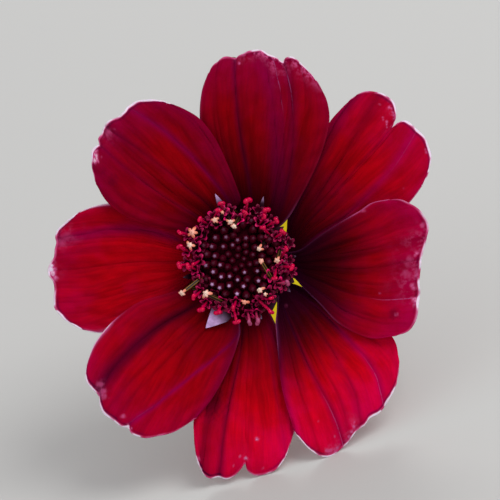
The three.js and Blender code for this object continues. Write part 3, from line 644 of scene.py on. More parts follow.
def make_mesh(name, vertices, faces, material, uv=None, values=None):
    """Object of the given vertices, in metres in the row frame, and faces, a list of arrays of quads or
    triangles. values are numbers a vertex and uv a pair a vertex, for the material."""
    mesh = bpy.data.meshes.new(name)
    corners = np.concatenate([face.reshape(-1) for face in faces])
    sizes = np.concatenate([np.full(len(face), face.shape[1]) for face in faces])
    mesh.vertices.add(len(vertices))
    mesh.vertices.foreach_set("co", np.asarray(vertices, np.float32).reshape(-1))
    mesh.loops.add(len(corners))
    mesh.loops.foreach_set("vertex_index", corners.astype(np.int32))
    mesh.polygons.add(len(sizes))
    mesh.polygons.foreach_set("loop_start", (np.cumsum(sizes) - sizes).astype(np.int32))
    mesh.update(calc_edges=True)
    mesh.validate()
    mesh.polygons.foreach_set("use_smooth", np.ones(len(mesh.polygons), bool))
    for key, numbers in (values or {}).items():
        layer = mesh.attributes.new(key, "FLOAT", "POINT")
        layer.data.foreach_set("value", np.asarray(numbers, np.float32).reshape(-1))
    if uv is not None:
        layer = mesh.uv_layers.new(name="blade")
        layer.data.foreach_set("uv", np.asarray(uv, np.float32)[corners].reshape(-1))
    mesh.materials.append(material)
    made = bpy.data.objects.new(name, mesh)
    bpy.context.scene.collection.objects.link(made)
    return made


def place(made, slot, *nodes):
    """The piece rides on the flower and stands for the nodes. slot is not used."""
    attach(made, "root")
    if nodes:
        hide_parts(*nodes)
    return made


def blade_shell(grid, thickness):
    """Closed thin shell round a grid of points: each face lies half the thickness off along the normal, and
    one more row of vertices runs round the rim, halfway between the faces and a little further out."""
    rows, columns = grid.shape[:2]
    offset = surface_normals(grid) * (thickness[..., None] / 2)
    upper, lower = (grid + offset).reshape(-1, 3), (grid - offset).reshape(-1, 3)
    half = rows * columns
    index = np.arange(half).reshape(rows, columns)
    rim = np.concatenate([index[0, :-1], index[:-1, -1], index[-1, :0:-1], index[:0:-1, 0]])
    inner = np.concatenate([index[1, :-1], index[:-1, -2], index[-2, :0:-1], index[:0:-1, 1]])
    flat = grid.reshape(-1, 3)
    edge = flat[rim] + unit(flat[rim] - flat[inner]) * (thickness.reshape(-1)[rim, None] * RIM_BULGE)
    around = np.arange(len(rim))
    following = np.roll(around, -1)
    faces = [
        grid_quads(rows, columns),
        grid_quads(rows, columns, start=half)[:, ::-1],
        np.stack([rim[following], rim, 2 * half + around, 2 * half + following], axis=1),
        np.stack([2 * half + following, 2 * half + around, half + rim, half + rim[following]], axis=1),
    ]
    return np.vstack([upper, lower, edge]), faces, rim


def saucer(radius):
    """Height of the petals' saucer at a distance from the axis, rising as 1 - exp(-out / reach) and
    drooping with the square of the distance near the rim, and its slope."""
    out = np.maximum(radius - CLAW_RADIUS, 0)
    droop = np.maximum(radius - DROOP_FROM, 0)
    height = SAUCER_DEPTH * (1 - np.exp(-out / SAUCER_REACH)) - droop ** 2 / DROOP_RADIUS
    slope = SAUCER_DEPTH / SAUCER_REACH * np.exp(-out / SAUCER_REACH) - 2 * droop / DROOP_RADIUS
    return height, slope


def from_crease(crease, u, v):
    """Distance across the blade, as a share of its width, from a crease that runs straight from its place at
    the claw to its place at the tip."""
    return u[None] - crease.claw - (crease.tip - crease.claw) * v[:, None]


def near_crease(crease, u, v, width):
    """1 on a crease, falling off as a bell of the given width across the blade."""
    return np.exp(-(from_crease(crease, u, v) / width) ** 2)


def petal_grid(petal, creases, u, v, random, settings):
    """Middle surface of a petal over u across and v along. Rulings join the two side edges and bend into
    the lobed tip with v squared. The height is the saucer's, with this petal's crown, tip rise, troughs
    and thin creases, and with ribs, veins and faint ripples."""
    left, right = smooth_curve(petal["left"], v)[:, None], smooth_curve(petal["right"], v)[:, None]
    tip = smooth_curve((petal["left"][-1], *petal["tip"], petal["right"][-1]), u)[None]
    across, along = u[None, :, None], v[:, None, None]
    chord = left[-1:] * (1 - across) + right[-1:] * across
    flat = left * (1 - across) + right * across + (tip - chord) * along ** 2
    radius = np.linalg.norm(flat, axis=-1)
    across, along = u[None, :], v[:, None]
    nibbles = waves(u, random, *NIBBLES) * settings.edge_raggedness / MM * smoothstep(along, *NIBBLES_GROW)
    flat = flat + flat / radius[..., None] * nibbles[..., None]
    height, slope = saucer(radius)
    lift = PETAL_LIFT * (petal["lift"][0] * (1 - across) + petal["lift"][1] * across) * np.hypot(1, slope)
    grown = smoothstep(along, *FORM_GROWS)
    troughs = sum(depth * np.exp(-((across - at) / FOLD_WIDTH) ** 2) for at, depth in petal["folds"])
    grooves = sum(min(1, CREASE_LEAST_DEPTH + c.dark) * near_crease(c, u, v, CREASE_WIDTH) for c in creases)
    crown = petal["arch"] * 4 * across * (1 - across)
    rise = petal["tip_rise"] * smoothstep(radius, TIP_RISE_FROM, TIP_RISE_TO)
    ribs = waves(u, random, *RIBS) * settings.rib_height / MM * smoothstep(along, *RIBS_GROW)
    veins = waves(u, random, *VEINS) * settings.vein_height / MM
    wrinkles = ripples(u, v, random, *WRINKLES) * settings.ripple_height / MM
    relief = ribs + veins + (wrinkles - grooves * settings.crease_depth / MM) * grown
    return np.dstack([flat, height + lift + rise + (crown - troughs * FOLD_DEPTH) * grown + relief]), radius


def crease_bands(creases, u, v):
    """Darkness, a painted shade, and violet and lilac, a painted sheen, along the creases. Each is a sum of
    bells across the creases, the violet wider and the lilac narrower than the darkness, and grows out of
    nothing at the claw."""
    shade = sum(c.dark * near_crease(c, u, v, c.width) for c in creases)
    violet = sum(c.violet * near_crease(c, u, v, VIOLET_BAND * c.width) for c in creases)
    lilac = sum(max(c.violet - LILAC_FROM, 0) * near_crease(c, u, v, LILAC_BAND * c.width) for c in creases)
    grown = smoothstep(v[:, None], *BANDS_GROW)
    return shade * grown, violet * grown, lilac * grown


def pale_lines(creases, u, v, wide):
    """Distance in millimetres from the nearest pale line, a painted highlight which lies a little aside of
    its crease, and how pale that line is, growing towards the tip. wide is the blade's width in millimetres."""
    lined = [crease for crease in creases if crease.pale > 0] or creases[:1]
    offsets = np.stack([from_crease(crease, u, v) * wide - LINE_ASIDE for crease in lined])
    nearest = np.abs(offsets).argmin(axis=0)
    beside = np.take_along_axis(offsets, nearest[None], axis=0)[0]
    paleness = np.array([crease.pale for crease in lined])[nearest]
    return beside, paleness * np.exp(-(beside / LINE_REACH) ** 4) * smoothstep(v[:, None], *LINES_GROW)


def side_rims(petal, to_left, to_right, v):
    """Paleness of the painted highlights on the two side rims, a bell of the distance from each edge. It
    changes at the drawn place along the blade, and the bell is wider where it is above 1."""
    paleness = np.zeros(to_left.shape)
    for distance, (near, far, change) in zip((to_left, to_right), petal["rims"]):
        strength = near + (far - near) * smoothstep(v[:, None], change - RIM_CHANGE, change + RIM_CHANGE)
        width = SIDE_RIM_WIDTH * (1 + SIDE_RIM_GROWTH * np.maximum(strength - 1, 0))
        paleness = np.maximum(paleness, strength * np.exp(-(distance / width) ** 2))
    return paleness


def tip_rim(petal, edge, u, random):
    """Paleness of the tip's rim, a painted highlight: a steep bell of the distance from the edge times a
    wavering strength that is higher at the drawn places, and the dark band inside the rim, a bell round its
    own distance."""
    drawn = RIM_PALENESS + sum(more * np.exp(-((u - at) / width) ** 2) for at, width, more in petal["edges"])
    paleness = np.clip(1 + RIM_WAVER * waves(u, random, *RIM_WAVES), *RIM_LIMITS) * drawn
    width = RIM_WIDTH * (1 + RIM_GROWTH * np.maximum(drawn - 1, 0))
    band = np.clip(drawn - BAND_FROM, 0, 1) * np.exp(-((edge - INNER_BAND) / INNER_BAND_WIDTH) ** 2)
    return paleness * np.exp(-(edge / width) ** 3), band


def spot_values(petal, grid, u, v, random):
    """The pale and the dark flecks: steep bells of the distance from their places, with wavering edges. The
    dark fleck on the fifth petal is a painted shadow of the sixth.
    """
    uneven = 1 + FLECK_WAVER * ripples(u, v, random, *FLECK_WAVES)
    pale, dark = np.zeros((2, *grid.shape[:2]))
    for x, y, size, paleness in petal["spots"]:
        apart = np.hypot(grid[..., 0] - x, grid[..., 1] - y) * uneven
        fleck = np.exp(-(apart / size) ** 3)
        pale = np.maximum(pale, paleness * fleck)
        dark = dark + max(-paleness, 0) * fleck
    return pale, dark


def petal_values(petal, creases, grid, radius, u, v, random):
    """Numbers that the petal's finish reads: red is how far the blackish base, part own colour and part
    painted shade, has given way, shade the dark bands and flecks, painted shade in the creases and in places
    painted shadows of a neighbouring petal, cool the violet of creases, tip and sides, a painted sheen along
    creases and sides, lilac the brighter violet of some creases, line the painted highlights of the side
    rims, beside the distance in millimetres from the nearest pale line and pale how pale that painted
    highlight is, rim the painted highlight on the edge of the tip, fleck the pale flecks, frost the mottled
    patches inside the tip, and tone the blade's brightness, part its own and part painted light and shade."""
    edge, to_left, to_right = (
        np.linalg.norm(grid - side, axis=-1) for side in (grid[-1:], grid[:, :1], grid[:, -1:])
    )
    wide = np.linalg.norm(grid[:, :1] - grid[:, -1:], axis=-1)
    shade, violet, lilac = crease_bands(creases, u, v)
    beside, pale = pale_lines(creases, u, v, wide)
    line = side_rims(petal, to_left, to_right, v)
    rim, band = tip_rim(petal, edge, u, random)
    flecks, dark_flecks = spot_values(petal, grid, u, v, random)
    frost = sum(
        strength * np.exp(-((u - at) / width) ** 2) * np.exp(-(edge / depth) ** 1.5)
        for at, width, depth, strength in petal["frost"]
    )
    base_radius, fade, tone = petal["base"]
    ragged = radius + BASE_WAVER * waves(u, random, *BASE_WAVES)
    cool = (
        CREASE_VIOLET * violet + BAND_VIOLET * band
        + SIDE_VIOLET * np.exp(-(np.minimum(to_left, to_right) / VIOLET_WIDTH) ** 2)
        + petal["cool"] * smoothstep(v[:, None], *TIP_VIOLET_GROWS)
    )
    return {
        "red": 1 / (1 + np.exp(-(ragged - base_radius) / fade)),
        "shade": shade + BAND_DARKNESS * band + dark_flecks,
        "cool": np.clip(cool, 0, MOST_VIOLET),
        "lilac": lilac,
        "line": line,
        "beside": beside,
        "pale": pale,
        "rim": np.maximum(rim, WHITENESS * (line - WHITE_FROM)),
        "fleck": flecks,
        "frost": frost,
        "tone": np.full(rim.shape, tone),
    }


def make_petal(number, material, settings):
    """One petal: its middle surface as a thin closed shell, thinner towards the rim, kept above the
    table."""
    petal = PETALS[number - 1]
    creases = [Crease(*row) for row in petal["creases"]]
    random = np.random.default_rng(PETAL_SEED + number)
    width, denser = CREASE_MARK
    bands = [((c.claw + c.tip) / 2, width + abs(c.claw - c.tip) / 2, denser) for c in creases]
    u = spread(settings.columns, (*SIDE_MARKS, *bands))
    v = spread(settings.rows, TIP_MARKS)
    grid, radius = petal_grid(petal, creases, u, v, random, settings)
    values = petal_values(petal, creases, grid, radius, u, v, random)
    inset = np.minimum(1, EDGE_STEEPNESS * np.outer(1 - v ** 6, 4 * u * (1 - u)))
    thickness = settings.thickness / MM * (EDGE_THICKNESS + (1 - EDGE_THICKNESS) * inset)
    vertices, faces, rim = blade_shell(grid, thickness)
    vertices = to_row(vertices)
    vertices[:, 2] = np.maximum(vertices[:, 2], 0)
    face = np.arange(radius.size)
    points = np.concatenate([face, face, rim])
    values = {key: value.reshape(-1)[points] for key, value in values.items()}
    uv = np.stack(np.meshgrid(u, v), axis=-1).reshape(-1, 2)[points]
    made = make_mesh(f"petal_{number}_blade", vertices, faces, material, uv, values)
    return place(made, "petal", f"petal_{number}")


class Nodes:
    """A material's node tree, with short calls for the nodes that the finishes use."""

    def __init__(self, name):
        self.material = bpy.data.materials.new(name)
        self.material.use_nodes = True
        self.tree = self.material.node_tree
        self.shader = self.tree.nodes["Principled BSDF"]

    def add(self, kind, inputs=None, **settings):
        node = self.tree.nodes.new(kind)
        for key, value in settings.items():
            setattr(node, key, value)
        for key, value in (inputs or {}).items():
            if isinstance(value, bpy.types.NodeSocket):
                self.tree.links.new(value, node.inputs[key])
            else:
                node.inputs[key].default_value = value
        return node

    def object_place(self):
        return self.add("ShaderNodeTexCoord").outputs["Object"]

    def value(self, name):
        return self.add("ShaderNodeAttribute", attribute_name=name).outputs["Fac"]

    def math(self, operation, first, second=0.0, third=0.0, clamp=False):
        inputs = {0: first, 1: second, 2: third}
        return self.add("ShaderNodeMath", inputs, operation=operation, use_clamp=clamp).outputs[0]

    def times(self, first, second, clamp=False):
        return self.math("MULTIPLY", first, second, clamp=clamp)

    def mix(self, share, first, second):
        first, second = (c if isinstance(c, bpy.types.NodeSocket) else (*c, 1.0) for c in (first, second))
        node = self.add("ShaderNodeMix", {0: share, 6: first, 7: second}, data_type="RGBA")
        return node.outputs[2]

    def noise(self, vector, scale, detail=2.0, roughness=0.5, output="Fac"):
        inputs = {"Vector": vector, "Scale": scale, "Detail": detail, "Roughness": roughness}
        return self.add("ShaderNodeTexNoise", inputs).outputs[output]

    def vector(self, operation, first, **inputs):
        return self.add("ShaderNodeVectorMath", {0: first, **inputs}, operation=operation).outputs[0]

    def stretch(self, value, low, high, least=0.0, most=1.0):
        """From least where the value is low to most where it is high, eased at both ends."""
        inputs = {0: value, 1: low, 2: high, 3: least, 4: most}
        return self.add("ShaderNodeMapRange", inputs, interpolation_type="SMOOTHSTEP").outputs[0]

    def bump(self, height, strength, distance):
        node = self.add("ShaderNodeBump", {"Height": height, "Strength": strength, "Distance": distance})
        self.tree.links.new(node.outputs[0], self.shader.inputs["Normal"])

    def finish(self, colour, roughness, specular=0.5, **sockets):
        self.tree.links.new(colour, self.shader.inputs["Base Color"])
        self.shader.inputs["Roughness"].default_value = roughness
        self.shader.inputs["Specular IOR Level"].default_value = specular
        for key, value in sockets.items():
            self.shader.inputs[key.replace("_", " ")].default_value = value
        return self.material


def petal_red(n, place_on, settings):
    """Two reds in streaks along the blade, violet where the value "cool" is, a painted sheen along creases
    and sides, and clouded with the deeper one, times the blade's tone, part painted light and shade. Over
    them lie the lilac sheen and the dark bands of painted shade, and the blackish base by the disc, part own
    colour and part painted shade."""
    uv = n.add("ShaderNodeUVMap", uv_map="blade").outputs[0]
    sway = n.vector("SCALE", n.noise(uv, scale=3, output="Color"), Scale=0.08)
    swaying = n.add("ShaderNodeVectorMath", {0: uv, 1: sway}, operation="ADD").outputs[0]
    streaks, fine_streaks = (
        n.add("ShaderNodeMapping", {"Vector": swaying, "Scale": turns}).outputs[0]
        for turns in ((12, 1.6, 1), (48, 6, 1))
    )
    streaks = n.stretch(n.noise(streaks, scale=1.5, detail=3, roughness=0.6), low=0.28, high=0.68)
    fine_streaks = n.stretch(n.noise(fine_streaks, scale=1.5, detail=3), low=0.4, high=0.75, most=0.25)
    clouds = n.stretch(n.noise(place_on, scale=500, detail=4, roughness=0.65), low=0.4, high=0.75, most=0.45)
    blotches = n.stretch(n.noise(place_on, scale=260), low=0.45, high=0.7, most=0.25)
    cool = n.math("ADD", n.value("cool"), blotches, clamp=True)
    colour = n.mix(streaks, settings.deep_colour, settings.bright_colour)
    colour = n.mix(cool, colour, settings.tip_colour)
    colour = n.mix(fine_streaks, colour, settings.deep_colour)
    colour = n.mix(clouds, colour, settings.deep_colour)
    colour = n.vector("SCALE", colour, Scale=n.value("tone"))
    colour = n.mix(n.math("MINIMUM", n.value("lilac"), 0.8), colour, settings.crease_violet)
    fold = n.mix(cool, settings.fold_colour, settings.fold_violet)
    colour = n.mix(n.times(n.value("shade"), 0.8, clamp=True), colour, fold)
    base = n.mix(cool, settings.base_colour, settings.base_violet)
    return n.mix(n.value("red"), base, colour)


def petal_lines(n, place_on):
    """How much of the lines' lilac shows, painted highlights: half of the side rims, or the thin broken line
    beside a crease.
    """
    breaks = n.stretch(n.noise(place_on, scale=2600, roughness=0.6), low=0.3, high=0.52)
    thin = n.stretch(n.math("ABSOLUTE", n.value("beside")), low=LINE_WIDTH, high=0)
    broken = n.times(n.times(n.value("pale"), thin), breaks)
    return n.math("MINIMUM", n.math("MAXIMUM", n.times(n.value("line"), 0.5), broken), 1.0)


def petal_paleness(n, place_on):
    """The palest of the tip's rim, a painted highlight, the flecks, broken up a little, and the frost,
    mottled by two noises.
    """
    patches = n.stretch(n.noise(place_on, scale=1100, detail=3, roughness=0.6), low=0.42, high=0.62)
    grain = n.stretch(n.noise(place_on, scale=3200, roughness=0.7), low=0.25, high=0.6, most=0.55)
    frost = n.times(n.value("frost"), n.times(patches, grain))
    uneven = n.noise(place_on, scale=2200, detail=3, roughness=0.65)
    flecks = n.times(n.value("fleck"), n.stretch(uneven, low=0.35, high=0.58, least=0.75, most=1.15))
    return n.math("MAXIMUM", n.math("MAXIMUM", n.value("rim"), flecks), frost)


def petal_material(settings):
    """Velvety crimson with dark bands of painted shade and violet bands of painted sheen over a blackish
    base, lilac lines and pale rims of painted highlight, flecks and frost. Half of full paleness is the
    flecks' pink, and more turns it to the rim's colour."""
    n = Nodes("velvet petal")
    place_on = n.object_place()
    colour = n.mix(petal_lines(n, place_on), petal_red(n, place_on, settings), settings.line_colour)
    pale = petal_paleness(n, place_on)
    colour = n.mix(n.times(pale, 2, clamp=True), colour, settings.fleck_colour)
    colour = n.mix(n.math("MULTIPLY_ADD", pale, 2, -1, clamp=True), colour, settings.rim_colour)
    n.bump(n.noise(place_on, scale=7000), strength=0.25, distance=0.03 * MM)
    return n.finish(
        colour, roughness=0.65, specular=0.01, Sheen_Weight=0.015, Sheen_Roughness=0.4,
        Sheen_Tint=(0.6, 0.02, 0.25, 1.0), Subsurface_Weight=0.08, Subsurface_Scale=0.3 * MM,
        Subsurface_Radius=(1.0, 0.05, 0.1),
    )


def mottled_material(name, colour, second, scale, dull=None, glow=None):
    """Colour that wanders to a second one over noise, with a light bump of finer noise. Given a colour of
    painted shade and a painted glow, it takes that shade where the piece's own value "tip" is 0, and glows
    where that is
    1 though it is no lamp."""
    n = Nodes(name)
    place_on = n.object_place()
    colour = n.mix(n.stretch(n.noise(place_on, scale, detail=3), low=0.35, high=0.65), colour, second)
    if dull and glow:
        colour = n.mix(n.value("tip"), dull, colour)
        n.tree.links.new(n.mix(n.value("tip"), (0, 0, 0), glow), n.shader.inputs["Emission Color"])
        n.shader.inputs["Emission Strength"].default_value = 1
    n.bump(n.noise(place_on, scale * 3), strength=0.3, distance=0.05 * MM)
    return n.finish(colour, roughness=0.5)


def tipped_material(name, body, tip, roughness, specular=0.5):
    """Body colour that turns to the tip colour with the piece's own value "tip", dimmer in patches."""
    n = Nodes(name)
    patch = n.noise(n.object_place(), scale=2500)
    colour = n.mix(n.value("tip"), body, tip)
    colour = n.mix(n.stretch(patch, low=0.3, high=0.7, most=0.3), colour, scaled(body, 0.45))
    n.bump(patch, strength=0.3, distance=0.04 * MM)
    return n.finish(colour, roughness, specular)


def scaled(colour, share):
    return tuple(share * part for part in colour)


def closed_bodies(rings, values):
    """Vertices, faces and values of closed bodies. rings holds the points round each body, anticlockwise as
    one looks back along it: (bodies, steps, sides, 3). The middles of the first and last ring close it.
    values has one number for each of those points."""
    bodies, steps, sides = rings.shape[:3]
    ends = rings[:, [0, -1]].mean(axis=2)
    points = np.concatenate([rings.reshape(bodies, -1, 3), ends], axis=1)
    numbers = np.concatenate([values.reshape(bodies, -1), values[:, [0, -1]].mean(axis=2)], axis=1)
    round_ring = np.arange(sides)
    following = (round_ring + 1) % sides
    foot, head, last = steps * sides, steps * sides + 1, (steps - 1) * sides
    walls = grid_quads(steps, sides, closed=True)
    caps = np.concatenate([
        np.stack([np.full(sides, foot), following, round_ring], axis=1),
        np.stack([np.full(sides, head), last + round_ring, last + following], axis=1),
    ])
    first = np.arange(bodies)[:, None, None] * points.shape[1]
    faces = [(walls + first).reshape(-1, 4), (caps + first).reshape(-1, 3)]
    return points.reshape(-1, 3), faces, numbers.reshape(-1)


def joined_bodies(parts):
    """Several results of closed_bodies as one."""
    vertices, faces, values, first = [], [], [], 0
    for points, body_faces, numbers in parts:
        vertices.append(points)
        faces.extend(face + first for face in body_faces)
        values.append(numbers)
        first += len(points)
    return np.concatenate(vertices), faces, np.concatenate(values)


def frames_along(places, directions, turns, sizes):
    """Places and axes, as columns, of local frames whose z follows the directions, turned about it by turns
    and scaled by sizes."""
    z = unit(directions)
    helper = np.where(np.abs(z[:, 2:3]) < 0.95, np.array([[0, 0, 1.0]]), np.array([[1.0, 0, 0]]))
    x = unit(np.cross(helper, z))
    y = np.cross(z, x)
    c, s = np.cos(turns)[:, None], np.sin(turns)[:, None]
    axes = np.stack([x * c + y * s, y * c - x * s, z], axis=-1)
    return places, axes * np.reshape(sizes, (-1, 1, 1))


def in_frames(points, frames):
    """Local points, (bodies, ..., 3), in the frames' places."""
    places, axes = frames
    count = len(places)
    flat = np.broadcast_to(points, (count, *points.shape[1:])).reshape(count, -1, 3)
    moved = np.einsum("kij,knj->kni", axes, flat) + places[:, None]
    return moved.reshape(count, *points.shape[1:])


def turned(heights, radii, sides, lobes=0.0):
    """Rings of a body turned about z: a radius at each height, (bodies, steps) arrays, times one plus lobes
    times the cosine of five times the angle."""
    angle = ring_angles(sides)
    heights, radii = np.broadcast_arrays(np.atleast_2d(heights), np.atleast_2d(radii))
    reach = radii[..., None] * (1 + np.atleast_2d(lobes)[..., None] * np.cos(LOBES * angle))
    z = np.broadcast_to(heights[..., None], reach.shape)
    return np.stack([reach * np.cos(angle), reach * np.sin(angle), z], axis=-1)


def swept(paths, radii, sides, sideways, flat=1.0):
    """Rings round paths, (bodies, steps, 3), with a radius at each step. sideways is a direction for each
    body across its path, and flat squeezes the section square to it."""
    tangent = unit(np.gradient(paths, axis=1))
    side = unit(sideways[:, None] - (sideways[:, None] * tangent).sum(-1, keepdims=True) * tangent)
    other = np.cross(tangent, side) * flat
    angle = ring_angles(sides)[:, None]
    reach = np.broadcast_to(radii, paths.shape[:2])[..., None, None]
    return paths[:, :, None] + reach * (side[:, :, None] * np.cos(angle) + other[:, :, None] * np.sin(angle))


def profile_body(profile, sides):
    """One body turned about the flower's axis from a profile of radii and heights, with values of 0."""
    radii, heights = np.array(profile).T
    return closed_bodies(turned(heights, radii, sides), np.zeros((1, len(radii), sides)))


def bud_places(settings, random):
    """Tips of the closed buds seen from the front, how far out each stands, from 0 to 1, and which are pale
    with a painted reflection.
    A spiral whose radius grows with a power of the count; the buds nearest the pale ones' places take them,
    and the others give way until they stand apart."""
    index = np.arange(settings.buds)
    out = ((index + 0.5) / settings.buds) ** BUD_POWER
    flat = DISC_MIDDLE + settings.bud_reach / MM * out[:, None] * unit_circle(index * GOLDEN_ANGLE)
    flat += random.normal(0, BUD_WANDER, flat.shape)
    pale = np.zeros(len(flat), bool)
    for place_at in HIGHLIT_BUDS:
        distance = np.linalg.norm(flat - place_at, axis=1)
        nearest = np.argmin(np.where(pale, np.inf, distance))
        flat[nearest], pale[nearest] = place_at, True
    gap = BUD_GAP * (BUD_CROWDING + (1 - BUD_CROWDING) * out)
    for _ in range(SETTLING_ROUNDS):
        apart = flat[:, None] - flat
        distance = np.linalg.norm(apart, axis=-1)
        np.fill_diagonal(distance, np.inf)
        push = np.maximum((gap[:, None] + gap) / 2 - distance, 0) / distance
        flat += np.where(pale, 0, SETTLING_SHARE)[:, None] * (push[..., None] * apart).sum(axis=1)
    return flat, out, pale


def bud_bodies(settings, random):
    """Closed buds at their places on the dome. Each is an egg drawn out to a blunt five-lobed tip; the values
    turn from 0 to 1 at the tip, where the pale ones carry a painted reflection."""
    flat, out, pale = bud_places(settings, random)
    count = len(flat)
    wide = BUD_HALF_WIDTH + BUD_WIDENING * out
    top = DISC_CENTRE_HEIGHT + DISC_DOME * np.sin(DISC_DOME_PHASE * out)
    top = top - DISC_RIM_DROP * smoothstep(out, DISC_RIM_FROM, 1)
    tips = np.column_stack([flat, top + random.uniform(-BUD_UNEVEN, BUD_UNEVEN, count)])
    roots = np.column_stack([DISC_MIDDLE + (flat - DISC_MIDDLE) * BUD_ROOTS, top - BUD_LENGTH])
    steps, shape, lobes = np.array(BUD_PROFILE).T
    long = np.linalg.norm(tips - roots, axis=1)
    rings = turned(steps * long[:, None], shape * wide[:, None], BUD_SIDES, lobes)
    frames = frames_along(roots, tips - roots, random.uniform(0, FULL_TURN, count), np.ones(count))
    lower = BUD_PALENESS * np.exp(-flat[:, 1] / BUD_FADE)
    paleness = np.where(pale, lower * random.uniform(*LILAC_BUDS, count), random.uniform(*DARK_BUDS, count))
    tinted = paleness[:, None, None] * smoothstep(steps, *BUD_TIP)[None, :, None]
    return closed_bodies(in_frames(rings, frames), np.broadcast_to(tinted, rings.shape[:3]))


def floret_places(settings, random):
    """Mouths and tips of the open florets, in the flower's own frame: first the fresh ones, whose tip is
    the end of the anther tube, then the mature ones, whose tip is the style's knob. Then the mouths of
    plain ones, which go on with the buds' spiral wherever no other mouth stands."""
    fresh, mature = np.array(FRESH_FLORETS)[:, :4], np.array(MATURE_FLORETS)[:, :4]
    rows = np.concatenate([fresh, mature])
    height = np.where(np.arange(len(rows)) < len(fresh), FRESH_TIP_HEIGHT, MATURE_TIP_HEIGHT)
    tips = np.column_stack([rows[:, :2], height + random.uniform(-TIP_UNEVEN, TIP_UNEVEN, len(rows))])
    uneven = random.uniform(-MOUTH_UNEVEN, MOUTH_UNEVEN, len(rows))
    mouths = np.column_stack([rows[:, 2:], MOUTH_HEIGHT + uneven])
    index = np.arange(*(settings.buds * share for share in PLAIN_FLORETS))
    reach = settings.bud_reach / MM * (index / settings.buds) ** BUD_POWER
    plain = DISC_MIDDLE + reach[:, None] * unit_circle(index * GOLDEN_ANGLE)
    nearest = np.linalg.norm(plain[:, None] - mouths[None, :, :2], axis=-1).min(axis=1)
    plain = plain[nearest > settings.plain_gap / MM]
    uneven = random.uniform(-TIP_UNEVEN, TIP_UNEVEN, len(plain))
    plain = np.column_stack([plain, PLAIN_MOUTH_HEIGHT + uneven])
    return mouths, tips, plain


def lobe_numbers(angle):
    """Which of the five lobes each angle lies on."""
    return np.round(LOBES * angle / FULL_TURN).astype(int) % LOBES


def corolla_bodies(mouths, brightness, random):
    """Five-lobed tubes with a wall, leaning outwards. Outside, the radius widens from the foot to the mouth,
    and there each lobe bends outwards on an arc: out by r(1 - cos(s/r)) and on by r sin(s/r), where s, the
    length of the lobe at that angle, is a power of the cosine of the angle. Inside, the same way back. The
    values rise towards the lobes' ends, on each lobe to its own brightness."""
    count = len(mouths)
    angle = ring_angles(FLORET_SIDES)
    lobe = COROLLA_NOTCH + COROLLA_LOBE * np.abs(np.cos(LOBES / 2 * angle)) ** COROLLA_LOBE_POWER
    curl = random.uniform(*COROLLA_CURL, (count, 1, 1))
    share = np.linspace(0, 1, COROLLA_STEPS)[None, :, None]
    s = share * lobe * random.uniform(*COROLLA_LENGTHS, (count, 1, 1))
    flare_out = COROLLA_MOUTH + curl * (1 - np.cos(s / curl))
    flare_up = curl * np.sin(s / curl)
    shape = (count, len(COROLLA_TUBE), FLORET_SIDES)
    tube_out, tube_up = (np.broadcast_to(column[:, None], shape) for column in np.array(COROLLA_TUBE).T)
    inner_out, inner_up = flare_out[:, ::-1] - COROLLA_SLANT, flare_up[:, ::-1] + COROLLA_SLANT
    out = np.concatenate([tube_out, flare_out, inner_out, tube_out[:, -1:] - COROLLA_WALL], axis=1)
    up = np.concatenate([tube_up, flare_up, inner_up, tube_up[:, -1:]], axis=1)
    rings = np.stack([out * np.cos(angle), out * np.sin(angle), up], axis=-1)
    outside, inside = np.linspace(0.1, 1, COROLLA_STEPS) ** 1.5, np.linspace(1, 0, COROLLA_STEPS) ** 2.5
    bright = np.concatenate([np.zeros(len(COROLLA_TUBE)), outside, inside, np.zeros(1)])
    roots = mouths * [COROLLA_ROOT_SPREAD, COROLLA_ROOT_SPREAD, 0] + [0, 0, COROLLA_ROOT_HEIGHT]
    frames = frames_along(
        mouths, mouths - roots, random.uniform(0, FULL_TURN, count), random.uniform(*COROLLA_SIZES, count))
    lobe_brightness = np.random.default_rng(LOBE_SEED).uniform(*LOBE_BRIGHTNESS, (count, LOBES))
    values = brightness[:, None, None] * bright[None, :, None] * lobe_brightness[:, None, lobe_numbers(angle)]
    return closed_bodies(in_frames(rings, frames), values)


def anther_bodies(mouths, tips, golden, random):
    """Ribbed tubes from below the mouth to the tip, with five rounded ribs; the values rise on the ribs."""
    count = len(mouths)
    long = np.linalg.norm(tips - mouths, axis=1)[:, None]
    steps = np.linspace(0, 1, ANTHER_STEPS)
    radii = ANTHER_RADIUS * (1 - ANTHER_TAPER * steps ** 6)
    rings = turned(-ANTHER_FOOT + steps * (long + ANTHER_FOOT), radii, ANTHER_SIDES, ANTHER_RIB)
    frames = frames_along(mouths, tips - mouths, random.uniform(0, FULL_TURN, count), np.ones(count))
    rib = golden[:, None, None] * smoothstep(np.cos(LOBES * ring_angles(ANTHER_SIDES)), *GOLDEN_ON_RIB)
    return closed_bodies(in_frames(rings, frames), np.broadcast_to(rib, rings.shape[:3]))


def star_bodies(mouths, tips, paleness, sizes, random):
    """Little stars of five blunt, drooping points, each point of its own length, on the anther tubes. The
    values are palest in the middle."""
    count = len(tips)
    angle = ring_angles(FLORET_SIDES)
    point = np.abs(np.cos(LOBES / 2 * angle)) ** STAR_POINT_POWER
    lengths = STAR_LENGTH + random.uniform(*STAR_LENGTHS, (count, LOBES))
    reach = lengths[:, lobe_numbers(angle)] * STAR_POINT * point
    radii, rise, pointed = (column[None, :, None] for column in np.array(STAR_PROFILE).T)
    out = radii * (1 + reach[:, None] * pointed)
    up = rise - STAR_DROOP * out ** 2 + random.normal(0, STAR_UNEVEN, out.shape)
    rings = np.stack([out * np.cos(angle), out * np.sin(angle), up], axis=-1)
    leaning = unit(tips - mouths) + [0, 0, STAR_FACING]
    frames = frames_along(tips, leaning, random.uniform(0, FULL_TURN, count), sizes)
    raised = smoothstep(out, *STAR_MIDDLE)
    values = np.clip(paleness[:, None, None] * (0.1 + 1.1 * raised) + 0.15 * raised, 0, 1)
    return closed_bodies(in_frames(rings, frames), values)


